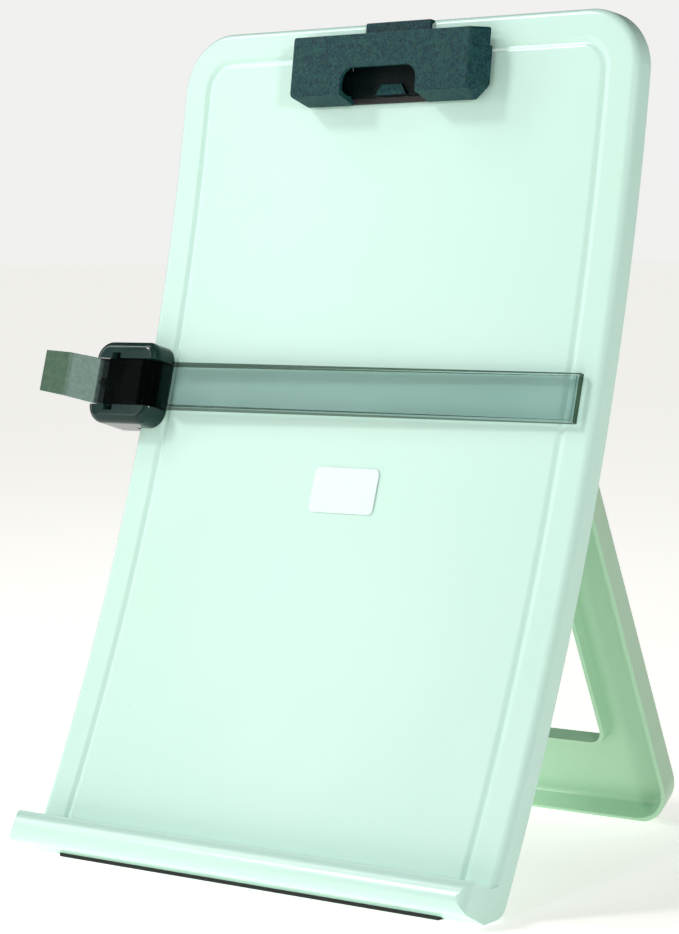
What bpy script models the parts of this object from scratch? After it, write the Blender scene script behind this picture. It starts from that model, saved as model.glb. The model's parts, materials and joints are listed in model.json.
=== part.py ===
"""Desktop copy holder: a curved easel board with a document ledge, a sprung paper clip,
a line guide on a sliding carriage and a folding rear leg.

World frame: +X to the right as the reader sees it, +Y away from the reader, +Z up.
The origin lies on the desk, under the middle of the grip strip below the ledge.

Board coordinates are (x, s, n): s runs up the board along its curve from the bottom corner,
n stands out from the front face towards the reader. Flat shapes are modelled upright as
(x, -n, s) and then bent round the board's arc, or stood on the board by a local frame.
"""
import math

import bmesh
import bpy
from mathutils import Matrix, Vector

MM = 0.001

# Board
BOARD_WIDTH = 240 * MM
BOARD_LENGTH = 364.5 * MM
ARC_RADIUS = 1051.6 * MM
TILT_BOTTOM = math.radians(27.25)
CORNER_RADIUS = 25 * MM
RIM_DEPTH = 10 * MM
WALL = 2.4 * MM
EDGE_ROUND = 3 * MM
GROOVE_SIDE_INSET = 15.2 * MM
GROOVE_TOP_INSET = 13.4 * MM
GROOVE_HALF_WIDTH = 2.4 * MM
GROOVE_DEPTH = 0.9 * MM
BOTTOM_CORNER_HEIGHT = 0.3 * MM
BOTTOM_CORNER_Y = -0.85 * MM
BOTTOM_CHAMFER = 10 * MM
BEND_STEP = 18 * MM

# Ledge
LEDGE_REACH = 17 * MM
LEDGE_HEIGHT = 13.2 * MM
LEDGE_FLOOR = 4 * MM
TROUGH_WIDTH = 12 * MM
LEDGE_CORNER_RADIUS = 5 * MM
END_WALL_FRONT = 15 * MM

# Grip strip
STRIP_LENGTH = 200 * MM
STRIP_WIDTH = 6.5 * MM
STRIP_THICKNESS = 1.5 * MM
GAP = 0.3 * MM

# Leg
LEG_WIDTH = 144 * MM
LEG_BELOW_PIN = 260 * MM
LEG_ABOVE_PIN = 13.6 * MM
LEG_DEPTH = 13 * MM
LEG_DRAFT = 2 * MM          # the back of the tray is this much smaller on every side
LEG_LEAN = math.radians(23.2)
LEG_FOOT_Y = 201.2 * MM
LEG_FOOT_TRIM = 0.8 * MM
LEG_WALL = 2.2 * MM
LEG_CORNER_RADIUS = 20 * MM
WINDOW_WIDTH = 87 * MM
WINDOW_BOTTOM = 34 * MM
WINDOW_TOP = 192 * MM
WINDOW_CORNER = 9 * MM
FLANGE_WALL = 2 * MM
ROD_RADIUS = 2 * MM
ROD_LENGTH = 176 * MM
POST_INNER_X = 74.5 * MM
POST_WIDTH = 14 * MM
POST_HEIGHT = 24 * MM
CAP_THICKNESS = 6 * MM
CAP_SCREW_OFFSET = 7.6 * MM

# Screws
SHANK_RADIUS = 1.2 * MM
SCREW_HOLE_RADIUS = 1.55 * MM
HEAD_HEIGHT = 1.6 * MM

# Clip, in its own frame at CLIP_S, z up the board
CLIP_S = 345 * MM
CLIP_FRONT = 13 * MM
CLIP_WALL = 1.8 * MM
CLIP_PIN_Z = 7.6 * MM
CLIP_PIN_N = 6 * MM
CLIP_PIN_RADIUS = 1.1 * MM
THUMB_WIDTH = 40 * MM
TAB_WIDTH = 34 * MM
TAB_NOTCH_DEPTH = 1.8 * MM
TAB_THICKNESS = 1.2 * MM
CLIP_SCREW_X = 24 * MM
CLIP_SCREW_Z = -4 * MM

# Slider carriage, in its own frame at SLIDER_S
SLIDER_S = 207 * MM
SLIDER_LEFT = -142.2 * MM
SLIDER_RIGHT = -104.8 * MM
SLIDER_HALF_HEIGHT = 18.2 * MM
SLIDER_FRONT = 12 * MM
SLIDER_BACK = -10.4 * MM
SLIDER_CORNER = 7 * MM
CHANNEL_BOTTOM = -10.4 * MM
CHANNEL_TOP = 10.4 * MM
PIVOT_X = -129 * MM
PIVOT_N = 8 * MM
SLIDER_SCREW_Z = 13 * MM

# Guide
GUIDE_HALF_HEIGHT = 10 * MM
TAB_END_HALF_HEIGHT = 7.4 * MM
GUIDE_SHEET = 1.8 * MM
GUIDE_TIP_X = 112.5 * MM
BAR_N = 2.2 * MM
ROCKER_N = 10.5 * MM
TRUNNION_RADIUS = 2.1 * MM
RIB_ROOT_HEIGHT = 6.5 * MM
RIB_TIP_HEIGHT = 2.4 * MM
RIB_WIDTH = 1.2 * MM

# Label
LABEL_X = 2.2 * MM
LABEL_S = 165.8 * MM
LABEL_WIDTH = 33.7 * MM
LABEL_HEIGHT = 19.2 * MM

ARC_Y = BOTTOM_CORNER_Y - ARC_RADIUS * math.cos(TILT_BOTTOM)
ARC_Z = BOTTOM_CORNER_HEIGHT + ARC_RADIUS * math.sin(TILT_BOTTOM)
OVERCUT = 30 * MM

COLLECTION_NAME = "desktop_copy_holder"


# ---------------------------------------------------------------- scene and materials

def clear_scene():
    for obj in list(bpy.data.objects):
        bpy.data.objects.remove(obj)


def make_collection(name):
    collection = bpy.data.collections.new(name)
    bpy.context.scene.collection.children.link(collection)
    return collection


def make_material(name, colour, roughness, metallic=0.0, transmission=0.0):
    material = bpy.data.materials.new(name)
    material.use_nodes = True
    shader = material.node_tree.nodes["Principled BSDF"]
    shader.inputs["Base Color"].default_value = (*colour, 1.0)
    shader.inputs["Roughness"].default_value = roughness
    shader.inputs["Metallic"].default_value = metallic
    shader.inputs["Transmission Weight"].default_value = transmission
    material.diffuse_color = (*colour, 1.0)
    return material


clear_scene()
PARTS = make_collection(COLLECTION_NAME)
CUTTERS = make_collection("cutters")

MINT = (0.70, 0.94, 0.84)
TEAL = (0.035, 0.075, 0.078)
BLACK = (0.012, 0.016, 0.016)
SMOKE = (0.36, 0.50, 0.45)
STEEL = (0.62, 0.63, 0.64)
RUBBER = (0.03, 0.03, 0.03)
WHITE = (0.90, 0.93, 0.93)

FINISHES = {
    "mint": (MINT, 0.35, 0.0, 0.0),
    "teal": (TEAL, 0.55, 0.0, 0.0),
    "black": (BLACK, 0.12, 0.0, 0.0),
    "smoke": (SMOKE, 0.08, 0.0, 0.8),
    "steel": (STEEL, 0.25, 1.0, 0.0),
    "rubber": (RUBBER, 0.8, 0.0, 0.0),
    "paper": (WHITE, 0.6, 0.0, 0.0),
}


# ---------------------------------------------------------------- board coordinates

def tilt_at(s):
    """Lean from the vertical of the board's front at height s along its curve."""
    return TILT_BOTTOM - s / ARC_RADIUS


def board_point(x, s, n):
    radius = ARC_RADIUS - n
    tilt = tilt_at(s)
    return Vector((x, ARC_Y + radius * math.cos(tilt), ARC_Z - radius * math.sin(tilt)))


def board_frame(x, s, n):
    """Local frame on the board: X right, Y into the board, Z up the board."""
    return Matrix.Translation(board_point(x, s, n)) @ Matrix.Rotation(-tilt_at(s), 4, "X")


def leg_frame():
    """Local frame of the open leg: origin at the virtual front corner of its foot,
    X right, Y from the front edges to the back face, Z up the leg."""
    foot = Vector((0, LEG_FOOT_Y, -LEG_FOOT_TRIM))
    return Matrix.Translation(foot) @ Matrix.Rotation(LEG_LEAN, 4, "X")


def local(x, n, z):
    """A point of an upright local frame, given by its standing-out distance n."""
    return Vector((x, -n, z))


# ---------------------------------------------------------------- modelling helpers

def new_object(name, mesh, collection):
    obj = bpy.data.objects.new(name, mesh)
    collection.objects.link(obj)
    if collection is CUTTERS:
        obj.hide_render = True
        obj.display_type = "WIRE"
    return obj


def object_from_bmesh(name, bm, collection):
    mesh = bpy.data.meshes.new(name)
    bmesh.ops.recalc_face_normals(bm, faces=bm.faces)
    bm.to_mesh(mesh)
    bm.free()
    return new_object(name, mesh, collection)


def box(name, low, high, collection):
    """A box between two corners given as (x, y, z)."""
    low = Vector(low)
    high = Vector(high)
    size = high - low
    bm = bmesh.new()
    bmesh.ops.create_cube(bm, size=1.0)
    bmesh.ops.scale(bm, vec=size, verts=bm.verts)
    bmesh.ops.translate(bm, vec=(low + high) / 2, verts=bm.verts)
    return object_from_bmesh(name, bm, collection)


def slab(name, x_range, n_range, z_range, collection):
    """A box given by its ranges in an upright local frame."""
    low = (x_range[0], -n_range[1], z_range[0])
    high = (x_range[1], -n_range[0], z_range[1])
    return box(name, low, high, collection)


AXIS_TURN = {
    "X": Matrix.Rotation(math.radians(90), 4, "Y"),
    "Y": Matrix.Rotation(math.radians(-90), 4, "X"),
    "Z": Matrix.Identity(4),
}


def rod(name, radius, start, end, axis, collection, segments=24, end_radius=None):
    """A cylinder or cone from start to end, two points on a line along the axis X, Y or Z."""
    start = Vector(start)
    end = Vector(end)
    bm = bmesh.new()
    bmesh.ops.create_cone(bm, cap_ends=True, segments=segments, radius1=radius,
                          radius2=radius if end_radius is None else end_radius,
                          depth=(end - start).length)
    bmesh.ops.transform(bm, matrix=AXIS_TURN[axis], verts=bm.verts)
    bmesh.ops.translate(bm, vec=(start + end) / 2, verts=bm.verts)
    return object_from_bmesh(name, bm, collection)


PRISM_TURN = {
    "X": Matrix(((0, 0, 1, 0), (1, 0, 0, 0), (0, 1, 0, 0), (0, 0, 0, 1))),
    "Y": Matrix(((1, 0, 0, 0), (0, 0, -1, 0), (0, 1, 0, 0), (0, 0, 0, 1))),
    "Z": Matrix.Identity(4),
}


def prism(name, outline, axis, low, high, collection):
    """A flat outline carried along an axis from low to high. The outline's points are (y, z)
    for the axis X, (x, z) for Y and (x, y) for Z."""
    curve = bpy.data.curves.new(name, "CURVE")
    curve.dimensions = "2D"
    curve.fill_mode = "BOTH"
    curve.extrude = (high - low) / 2
    spline = curve.splines.new("POLY")
    spline.points.add(len(outline) - 1)
    for point, place in zip(spline.points, outline):
        point.co = (place[0], place[1], 0, 1)
    spline.use_cyclic_u = True
    curve_object = new_object(name + "_outline", curve, CUTTERS)
    bpy.context.view_layer.update()
    depsgraph = bpy.context.evaluated_depsgraph_get()
    flat = bpy.data.meshes.new_from_object(curve_object.evaluated_get(depsgraph))
    bpy.data.objects.remove(curve_object)
    bm = bmesh.new()
    bm.from_mesh(flat)
    bmesh.ops.remove_doubles(bm, verts=bm.verts, dist=0.000001)
    bmesh.ops.transform(bm, matrix=PRISM_TURN[axis], verts=bm.verts)
    direction = Vector((axis == "X", axis == "Y", axis == "Z"))
    bmesh.ops.translate(bm, vec=direction * (low + high) / 2, verts=bm.verts)
    return object_from_bmesh(name, bm, collection)


def arc(centre, radius, start, end, steps):
    """Points along a circular arc, angles in degrees from the first axis."""
    points = []
    for step in range(steps + 1):
        angle = math.radians(start + (end - start) * step / steps)
        points.append((centre[0] + radius * math.cos(angle), centre[1] + radius * math.sin(angle)))
    return points


def rounded_rectangle(left, right, bottom, top, bottom_radius, top_radius, steps=5):
    """Outline with separately rounded bottom and top corners, counter-clockwise."""
    points = []
    points += arc((right - bottom_radius, bottom + bottom_radius), bottom_radius, -90, 0, steps)
    points += arc((right - top_radius, top - top_radius), top_radius, 0, 90, steps)
    points += arc((left + top_radius, top - top_radius), top_radius, 90, 180, steps)
    points += arc((left + bottom_radius, bottom + bottom_radius), bottom_radius, 180, 270, steps)
    return points


def loft(name, rings, collection):
    """A closed body through rings of equally many points, capped by the first and last ring."""
    bm = bmesh.new()
    loops = [[bm.verts.new(point) for point in ring] for ring in rings]
    for lower, upper in zip(loops, loops[1:]):
        for index in range(len(lower)):
            after = (index + 1) % len(lower)
            bm.faces.new((lower[index], lower[after], upper[after], upper[index]))
    bm.faces.new(loops[0])
    bm.faces.new(loops[-1])
    return object_from_bmesh(name, bm, collection)


def boolean(obj, other, operation="DIFFERENCE"):
    modifier = obj.modifiers.new(operation.lower(), "BOOLEAN")
    modifier.operation = operation
    modifier.solver = "EXACT"
    modifier.object = other
    return obj


def cut(obj, *cutters):
    for cutter in cutters:
        boolean(obj, cutter, "DIFFERENCE")
    return obj


def join(obj, *others):
    for other in others:
        boolean(obj, other, "UNION")
    return obj


def bevel(obj, width, segments=2, angle=35):
    modifier = obj.modifiers.new("bevel", "BEVEL")
    modifier.width = width
    modifier.segments = segments
    modifier.limit_method = "ANGLE"
    modifier.angle_limit = math.radians(angle)
    return obj


def bake(obj):
    """Replace an object's mesh by what its modifiers make of it."""
    bpy.context.view_layer.update()
    depsgraph = bpy.context.evaluated_depsgraph_get()
    mesh = bpy.data.meshes.new_from_object(obj.evaluated_get(depsgraph))
    obj.modifiers.clear()
    obj.data = mesh
    return obj


def finish(obj, finish_name, parent=None, placing=None):
    """Give a part its material and smooth shading, and stand it in its place."""
    bake(obj)
    colour, roughness, metallic, transmission = FINISHES[finish_name]
    obj.data.materials.clear()
    obj.data.materials.append(make_material(obj.name, colour, roughness, metallic, transmission))
    obj.data.shade_smooth()
    obj.data.set_sharp_from_angle(angle=math.radians(35))
    if placing is not None:
        obj.matrix_world = placing
    if parent is not None:
        obj.parent = parent
        obj.matrix_parent_inverse = parent.matrix_world.inverted()
    return obj


def pivot_empty(name, matrix):
    empty = bpy.data.objects.new(name, None)
    empty.empty_display_size = 0.01
    PARTS.objects.link(empty)
    empty.matrix_world = matrix
    bpy.context.view_layer.update()
    return empty


def move_origin(obj, point):
    """Put a part's origin on its joint axis, given in the part's local frame."""
    obj.data.transform(Matrix.Translation(-Vector(point)))
    obj.matrix_world = obj.matrix_world @ Matrix.Translation(point)
    return obj


# ---------------------------------------------------------------- board

def board_ring(side, top, bottom, n):
    """One ring of the board's section, inset from its outline, standing at n."""
    radius = max(CORNER_RADIUS - min(side, top), 1 * MM)
    outline = rounded_rectangle(-BOARD_WIDTH / 2 + side, BOARD_WIDTH / 2 - side,
                                bottom, BOARD_LENGTH - top, 0.6 * MM, radius, 6)
    return [local(x, n, s) for x, s in outline]


def board_shell():
    """The panel and its rim as one section carried round the board's outline."""
    rings = [board_ring(WALL, WALL, BOTTOM_CHAMFER, -WALL),
             board_ring(WALL, WALL, BOTTOM_CHAMFER, -RIM_DEPTH + 0.4 * MM),
             board_ring(WALL - 0.5 * MM, WALL - 0.5 * MM, BOTTOM_CHAMFER - 0.5 * MM, -RIM_DEPTH),
             board_ring(0.5 * MM, 0.5 * MM, 0.9 * MM, -RIM_DEPTH),
             board_ring(0, 0, 0.4 * MM, -RIM_DEPTH + 0.5 * MM)]
    for step in range(4):
        angle = math.radians(30 * step)
        inset = EDGE_ROUND * (1 - math.cos(angle))
        n = -EDGE_ROUND * (1 - math.sin(angle))
        rings.append(board_ring(inset, inset, 0.4 * MM + inset / 3, n))
    for step in range(7):
        across = -1 + step / 3
        n = -GROOVE_DEPTH * 0.5 * (1 + math.cos(math.pi * across))
        offset = GROOVE_HALF_WIDTH * across
        rings.append(board_ring(GROOVE_SIDE_INSET + offset, GROOVE_TOP_INSET + offset,
                                1.6 * MM + 0.2 * MM * step, n))
    return loft("board", rings, PARTS)


def ledge_outline():
    """Section of the ledge's floor and lip as (-n, s), counter-clockwise seen from +X."""
    lip_front = LEDGE_REACH
    profile = [(-4 * MM, 0), (lip_front - 5.5 * MM, 0)]
    profile += arc((lip_front - 5.5 * MM, 5.5 * MM), 5.5 * MM, -90, 0, 4)[1:]
    swell = 9.4 * MM
    profile += arc((lip_front - swell, 5.5 * MM), swell, 0, 44, 3)[1:]
    profile += arc((TROUGH_WIDTH + 1.2 * MM, LEDGE_HEIGHT - 1.2 * MM), 1.2 * MM, 60, 180, 3)
    profile += arc((TROUGH_WIDTH - 2.5 * MM, LEDGE_FLOOR + 2.5 * MM), 2.5 * MM, 0, -90, 3)
    profile += arc((2 * MM, LEDGE_FLOOR + 2 * MM), 2 * MM, -90, -180, 3)
    profile.append((-4 * MM, LEDGE_FLOOR + 2 * MM))
    return [(-n, s) for n, s in profile]


def end_wall_outline():
    """Section of an end wall of the ledge as (-n, s)."""
    profile = [(-4 * MM, 0.05 * MM), (LEDGE_REACH - 5.6 * MM, 0.05 * MM)]
    profile += arc((LEDGE_REACH - 5.6 * MM, 5.5 * MM), 5.45 * MM, -90, 0, 4)[1:]
    profile += arc((LEDGE_REACH - 9.55 * MM, 5.5 * MM), 9.4 * MM, 0, 44, 3)[1:]
    profile += [(13 * MM, LEDGE_HEIGHT - 0.1 * MM), (2 * MM, LEDGE_HEIGHT + 0.4 * MM),
                (-1.5 * MM, LEDGE_HEIGHT + 2.6 * MM), (-4 * MM, LEDGE_HEIGHT + 2.6 * MM)]
    return [(-n, s) for n, s in profile]


def ledge():
    """Ledge floor, lip and end walls, with rounded front corners."""
    half = BOARD_WIDTH / 2 - 0.1 * MM
    body = prism("ledge_body", ledge_outline(), "X", -half, half, CUTTERS)
    for side in (-1, 1):
        low = min(side * half, side * (half - WALL))
        wall = prism("ledge_end", end_wall_outline(), "X", low, low + WALL, CUTTERS)
        join(body, wall)
    plan = []
    plan += arc((half - LEDGE_CORNER_RADIUS, -LEDGE_REACH + LEDGE_CORNER_RADIUS),
                LEDGE_CORNER_RADIUS, -90, 0, 5)
    plan += [(half + MM, -LEDGE_REACH + LEDGE_CORNER_RADIUS), (half + MM, 20 * MM),
             (-half - MM, 20 * MM), (-half - MM, -LEDGE_REACH + LEDGE_CORNER_RADIUS)]
    plan += arc((-half + LEDGE_CORNER_RADIUS, -LEDGE_REACH + LEDGE_CORNER_RADIUS),
                LEDGE_CORNER_RADIUS, 180, 270, 5)
    keep = prism("ledge_plan", plan, "Z", -5 * MM, 30 * MM, CUTTERS)
    boolean(body, keep, "INTERSECT")
    return bake(body)


def board_ribs():
    """Stiffening ribs on the back of the panel, clear of the leg and of the carriage."""
    depth = (-7.4 * MM, -1.6 * MM)
    ribs = []
    for side in (-1, 1):
        centre = side * 88 * MM
        ribs.append(slab("rib_long", (centre - 0.8 * MM, centre + 0.8 * MM), depth,
                         (9 * MM, BOARD_LENGTH - 2 * MM), CUTTERS))
        for height in (70, 135, 200, 262, 316):
            inner = side * 87.5 * MM
            outer = side * 110 * MM
            ribs.append(slab("rib_cross", (min(inner, outer), max(inner, outer)), depth,
                             ((height - 0.8) * MM, (height + 0.8) * MM), CUTTERS))
    ribs.append(slab("rib_top", (-88 * MM, 88 * MM), depth, (315.2 * MM, 316.8 * MM), CUTTERS))
    return ribs


def pin_in_leg():
    """Centre of the leg's hinge rod in the leg's frame."""
    return Vector((0, LEG_DEPTH / 2, LEG_BELOW_PIN))


def pin_on_board():
    """The rod's place as (s, n) on the board, from the open leg."""
    pin = leg_frame() @ pin_in_leg()
    radius = math.hypot(pin.y - ARC_Y, ARC_Z - pin.z)
    tilt = math.atan2(ARC_Z - pin.z, pin.y - ARC_Y)
    return (TILT_BOTTOM - tilt) * ARC_RADIUS, ARC_RADIUS - radius


def hinge_posts():
    """Two posts on the back of the panel with half-round seats for the rod."""
    pin_s, pin_n = pin_on_board()
    posts = []
    for side in (-1, 1):
        near = side * POST_INNER_X
        far = side * (POST_INNER_X + POST_WIDTH)
        posts.append(slab("post", (min(near, far), max(near, far)), (pin_n, -1.5 * MM),
                          (pin_s - POST_HEIGHT / 2, pin_s + POST_HEIGHT / 2), CUTTERS))
    return posts


def hinge_seat_cutters():
    pin_s, pin_n = pin_on_board()
    half = POST_INNER_X + POST_WIDTH + MM
    cutters = [rod("rod_seat", ROD_RADIUS + GAP, local(-half, pin_n, pin_s),
                   local(half, pin_n, pin_s), "X", CUTTERS)]
    for side in (-1, 1):
        x = side * (POST_INNER_X + POST_WIDTH / 2)
        for offset in (-CAP_SCREW_OFFSET, CAP_SCREW_OFFSET):
            cutters.append(rod("post_screw_hole", SCREW_HOLE_RADIUS,
                               local(x, pin_n - MM, pin_s + offset),
                               local(x, pin_n + 10 * MM, pin_s + offset), "Y", CUTTERS, 12))
    return cutters


def clip_hole_cutters():
    """Holes in the panel for the bosses of the clip plate, and the notch for its tab."""
    cutters = []
    for side in (-1, 1):
        x = side * CLIP_SCREW_X
        s = CLIP_S + CLIP_SCREW_Z
        cutters.append(rod("boss_hole", 3.8 * MM, local(x, -6 * MM, s), local(x, 3 * MM, s),
                           "Y", CUTTERS, 24))
    cutters.append(slab("tab_notch", (-TAB_WIDTH / 2 - GAP, TAB_WIDTH / 2 + GAP),
                        (-OVERCUT, OVERCUT),
                        (BOARD_LENGTH - TAB_NOTCH_DEPTH, BOARD_LENGTH + OVERCUT), CUTTERS))
    return cutters


def chamfer_cutter():
    """Solid that rounds the board's bottom back corner and keeps it clear of the desk."""
    far = 24 * MM
    outline = [(-0.4 * MM, 0), (-0.4 * MM, -far), (far, -far), (far, 12 * MM),
               (10.2 * MM, 12 * MM), (9.7 * MM, 9 * MM), (8.8 * MM, 6.7 * MM),
               (7.4 * MM, 4.9 * MM), (5.4 * MM, 3.4 * MM)]
    return prism("bottom_chamfer", outline, "X", -BOARD_WIDTH, BOARD_WIDTH, CUTTERS)


def bend(obj):
    """Bend an upright flat body round the board's arc, in strips short enough to look curved."""
    bm = bmesh.new()
    bm.from_mesh(obj.data)
    strips = int(BOARD_LENGTH / BEND_STEP)
    for strip in range(1, strips + 1):
        everything = bm.verts[:] + bm.edges[:] + bm.faces[:]
        bmesh.ops.bisect_plane(bm, geom=everything, plane_co=(0, 0, strip * BEND_STEP),
                               plane_no=(0, 0, 1), dist=0.00001)
    for vert in bm.verts:
        vert.co = board_point(vert.co.x, vert.co.z, -vert.co.y)
    bmesh.ops.remove_doubles(bm, verts=bm.verts, dist=0.00001)
    loose = [edge for edge in bm.edges if not edge.link_faces]
    bmesh.ops.delete(bm, geom=loose, context="EDGES")
    bm.to_mesh(obj.data)
    bm.free()
    return obj


def strip_land_cutter():
    """Box, level on the desk, that makes room under the bottom corner for the grip strip."""
    land = box("strip_land", (-STRIP_LENGTH / 2 - MM, -12 * MM, -10 * MM),
               (STRIP_LENGTH / 2 + MM, 12 * MM, STRIP_THICKNESS + GAP), CUTTERS)
    land.data.transform(board_frame(0, 0, 0).inverted())
    return land


def make_board():
    board = board_shell()
    join(board, ledge(), *board_ribs(), *hinge_posts())
    cut(board, chamfer_cutter(), strip_land_cutter(), *hinge_seat_cutters(),
        *clip_hole_cutters())
    bake(board)
    bend(board)
    return finish(board, "mint")


def make_ledge_strip():
    strip = box("ledge_strip", (-STRIP_LENGTH / 2, -STRIP_WIDTH / 2, 0),
                (STRIP_LENGTH / 2, STRIP_WIDTH / 2, STRIP_THICKNESS), PARTS)
    return finish(strip, "rubber")


def make_label():
    outline = rounded_rectangle(-LABEL_WIDTH / 2, LABEL_WIDTH / 2, -LABEL_HEIGHT / 2,
                                LABEL_HEIGHT / 2, 2.5 * MM, 2.5 * MM)
    label = prism("label", outline, "Y", -2 * GAP, -GAP, PARTS)
    return finish(label, "paper", placing=board_frame(LABEL_X, LABEL_S, 0))


# ---------------------------------------------------------------- leg

def leg_ring(inset, w):
    inset += LEG_DRAFT * w / LEG_DEPTH
    top = LEG_BELOW_PIN + LEG_ABOVE_PIN - inset
    outline = rounded_rectangle(-LEG_WIDTH / 2 + inset, LEG_WIDTH / 2 - inset, inset, top,
                                LEG_CORNER_RADIUS - inset, 8 * MM - inset, 6)
    return [Vector((x, w, u)) for x, u in outline]


def leg_tray():
    """Tray with its open side towards the board."""
    floor = LEG_DEPTH - LEG_WALL
    rings = [leg_ring(LEG_WALL + 1.2 * MM, floor), leg_ring(LEG_WALL + 0.4 * MM, floor - 0.4 * MM),
             leg_ring(LEG_WALL, floor - 1.2 * MM), leg_ring(LEG_WALL, 0.3 * MM),
             leg_ring(LEG_WALL - 0.5 * MM, 0), leg_ring(0.5 * MM, 0), leg_ring(0, 0.5 * MM),
             leg_ring(0, LEG_DEPTH - 2 * MM), leg_ring(0.6 * MM, LEG_DEPTH - 0.6 * MM),
             leg_ring(2 * MM, LEG_DEPTH)]
    return loft("leg", rings, PARTS)


def window_outline(inset):
    half = WINDOW_WIDTH / 2 - inset
    radius = WINDOW_CORNER - inset
    return rounded_rectangle(-half, half, WINDOW_BOTTOM + inset, WINDOW_TOP - inset,
                             radius, radius)


def make_leg(parent):
    leg = leg_tray()
    flange = prism("window_flange", window_outline(0), "Y", 5 * MM, LEG_DEPTH - MM, CUTTERS)
    join(leg, flange)
    pin = pin_in_leg()
    for side in (-1, 1):
        outer = side * (LEG_WIDTH / 2 - 2.2 * MM)
        inner = side * (LEG_WIDTH / 2 - 6 * MM)
        start = Vector((min(inner, outer), pin.y, pin.z))
        end = Vector((max(inner, outer), pin.y, pin.z))
        join(leg, rod("leg_boss", 5 * MM, start, end, "X", CUTTERS, 20))
    cut(leg, prism("window", window_outline(FLANGE_WALL), "Y", -OVERCUT, OVERCUT, CUTTERS))
    reach = LEG_WIDTH / 2 + MM
    cut(leg, rod("leg_rod_hole", ROD_RADIUS + GAP, pin - Vector((reach, 0, 0)),
                 pin + Vector((reach, 0, 0)), "X", CUTTERS))
    bake(leg)
    leg.data.transform(leg_frame())
    cut(leg, box("desk_trim", (-0.1, LEG_FOOT_Y - 0.05, -0.02), (0.1, LEG_FOOT_Y + 0.05, 0),
                 CUTTERS))
    bake(leg)
    leg.data.transform(parent.matrix_world.inverted())
    return finish(leg, "mint", parent, parent.matrix_world)


def hinge_frame():
    """Local frame on the board at the rod, X right, Y into the board, Z up the board."""
    pin_s, pin_n = pin_on_board()
    return board_frame(0, pin_s, pin_n)


def make_leg_rod():
    half = ROD_LENGTH / 2
    steel = rod("leg_rod", ROD_RADIUS, (-half, 0, 0), (half, 0, 0), "X", PARTS)
    bevel(steel, 0.3 * MM, 1)
    return finish(steel, "steel", placing=hinge_frame())


def make_leg_cap(side_name, side):
    near = side * POST_INNER_X
    far = side * (POST_INNER_X + POST_WIDTH)
    centre = (near + far) / 2
    cap = slab("leg_cap_" + side_name, (min(near, far), max(near, far)),
               (-CAP_THICKNESS - GAP, -GAP), (-POST_HEIGHT / 2, POST_HEIGHT / 2), PARTS)
    bevel(cap, 1 * MM, 2)
    reach = POST_INNER_X + POST_WIDTH + MM
    cut(cap, rod("cap_seat", ROD_RADIUS + GAP, (-reach, 0, 0), (reach, 0, 0), "X", CUTTERS))
    for offset in (-CAP_SCREW_OFFSET, CAP_SCREW_OFFSET):
        cut(cap, rod("cap_hole", SCREW_HOLE_RADIUS, local(centre, MM, offset),
                     local(centre, -CAP_THICKNESS - 2 * MM, offset), "Y", CUTTERS, 12))
    return finish(cap, "mint", placing=hinge_frame())


def make_screw(name, head_radius, head_n, tip_n, x, z, placing, parent=None):
    """Pan-head screw driven from behind, with a cross recess; head_n is the head's seat."""
    head_outer = head_n - HEAD_HEIGHT
    screw = rod(name, head_radius, local(x, head_outer, z), local(x, head_n, z), "Y", PARTS, 20)
    bevel(screw, 0.4 * MM, 2)
    shank = rod("shank", SHANK_RADIUS, local(x, head_n - 0.5 * MM, z), local(x, tip_n, z),
                "Y", CUTTERS, 12)
    join(screw, shank)
    slot = head_radius * 0.55
    for size_x, size_z in ((slot, 0.35 * MM), (0.35 * MM, slot)):
        cut(screw, slab("recess", (x - size_x, x + size_x),
                        (head_outer - MM, head_outer + 0.8 * MM),
                        (z - size_z, z + size_z), CUTTERS))
    return finish(screw, "steel", parent, placing)


def make_leg_hinge():
    make_leg_rod()
    frame = hinge_frame()
    for side_name, side in (("left", -1), ("right", 1)):
        make_leg_cap(side_name, side)
        x = side * (POST_INNER_X + POST_WIDTH / 2)
        for height_name, offset in (("lower", -CAP_SCREW_OFFSET), ("upper", CAP_SCREW_OFFSET)):
            make_screw("leg_screw_%s_%s" % (side_name, height_name), 2.6 * MM,
                       -CAP_THICKNESS - 2 * GAP, 8.5 * MM, x, offset, frame)


# ---------------------------------------------------------------- clip

def hull(name, points, collection):
    bm = bmesh.new()
    for point in points:
        bm.verts.new(point)
    bmesh.ops.convex_hull(bm, input=bm.verts)
    bmesh.ops.dissolve_limit(bm, angle_limit=0.0001, verts=bm.verts, edges=bm.edges)
    return object_from_bmesh(name, bm, collection)


def jaw_form(name, inset, back_n, collection):
    """The clip jaw's outer form, or its hollow when inset and carried further back."""
    front_n = CLIP_FRONT - inset
    points = []
    for side in (-1, 1):
        points.append(local(side * (47 * MM - inset), front_n, -12.8 * MM + inset))
        points.append(local(side * (47 * MM - inset), front_n, 12.4 * MM - inset))
        points.append(local(side * (51 * MM - inset), back_n, 13.8 * MM - inset))
        points.append(local(side * (51 * MM - inset), back_n, -10.5 * MM + inset / 2))
        points.append(local(side * (45 * MM - inset), back_n, -15.8 * MM + inset))
    return hull(name, points, collection)


def thumb_outline():
    half = THUMB_WIDTH / 2
    return rounded_rectangle(-half, half, -30 * MM, -1.5 * MM, 1 * MM, 6 * MM)


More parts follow.
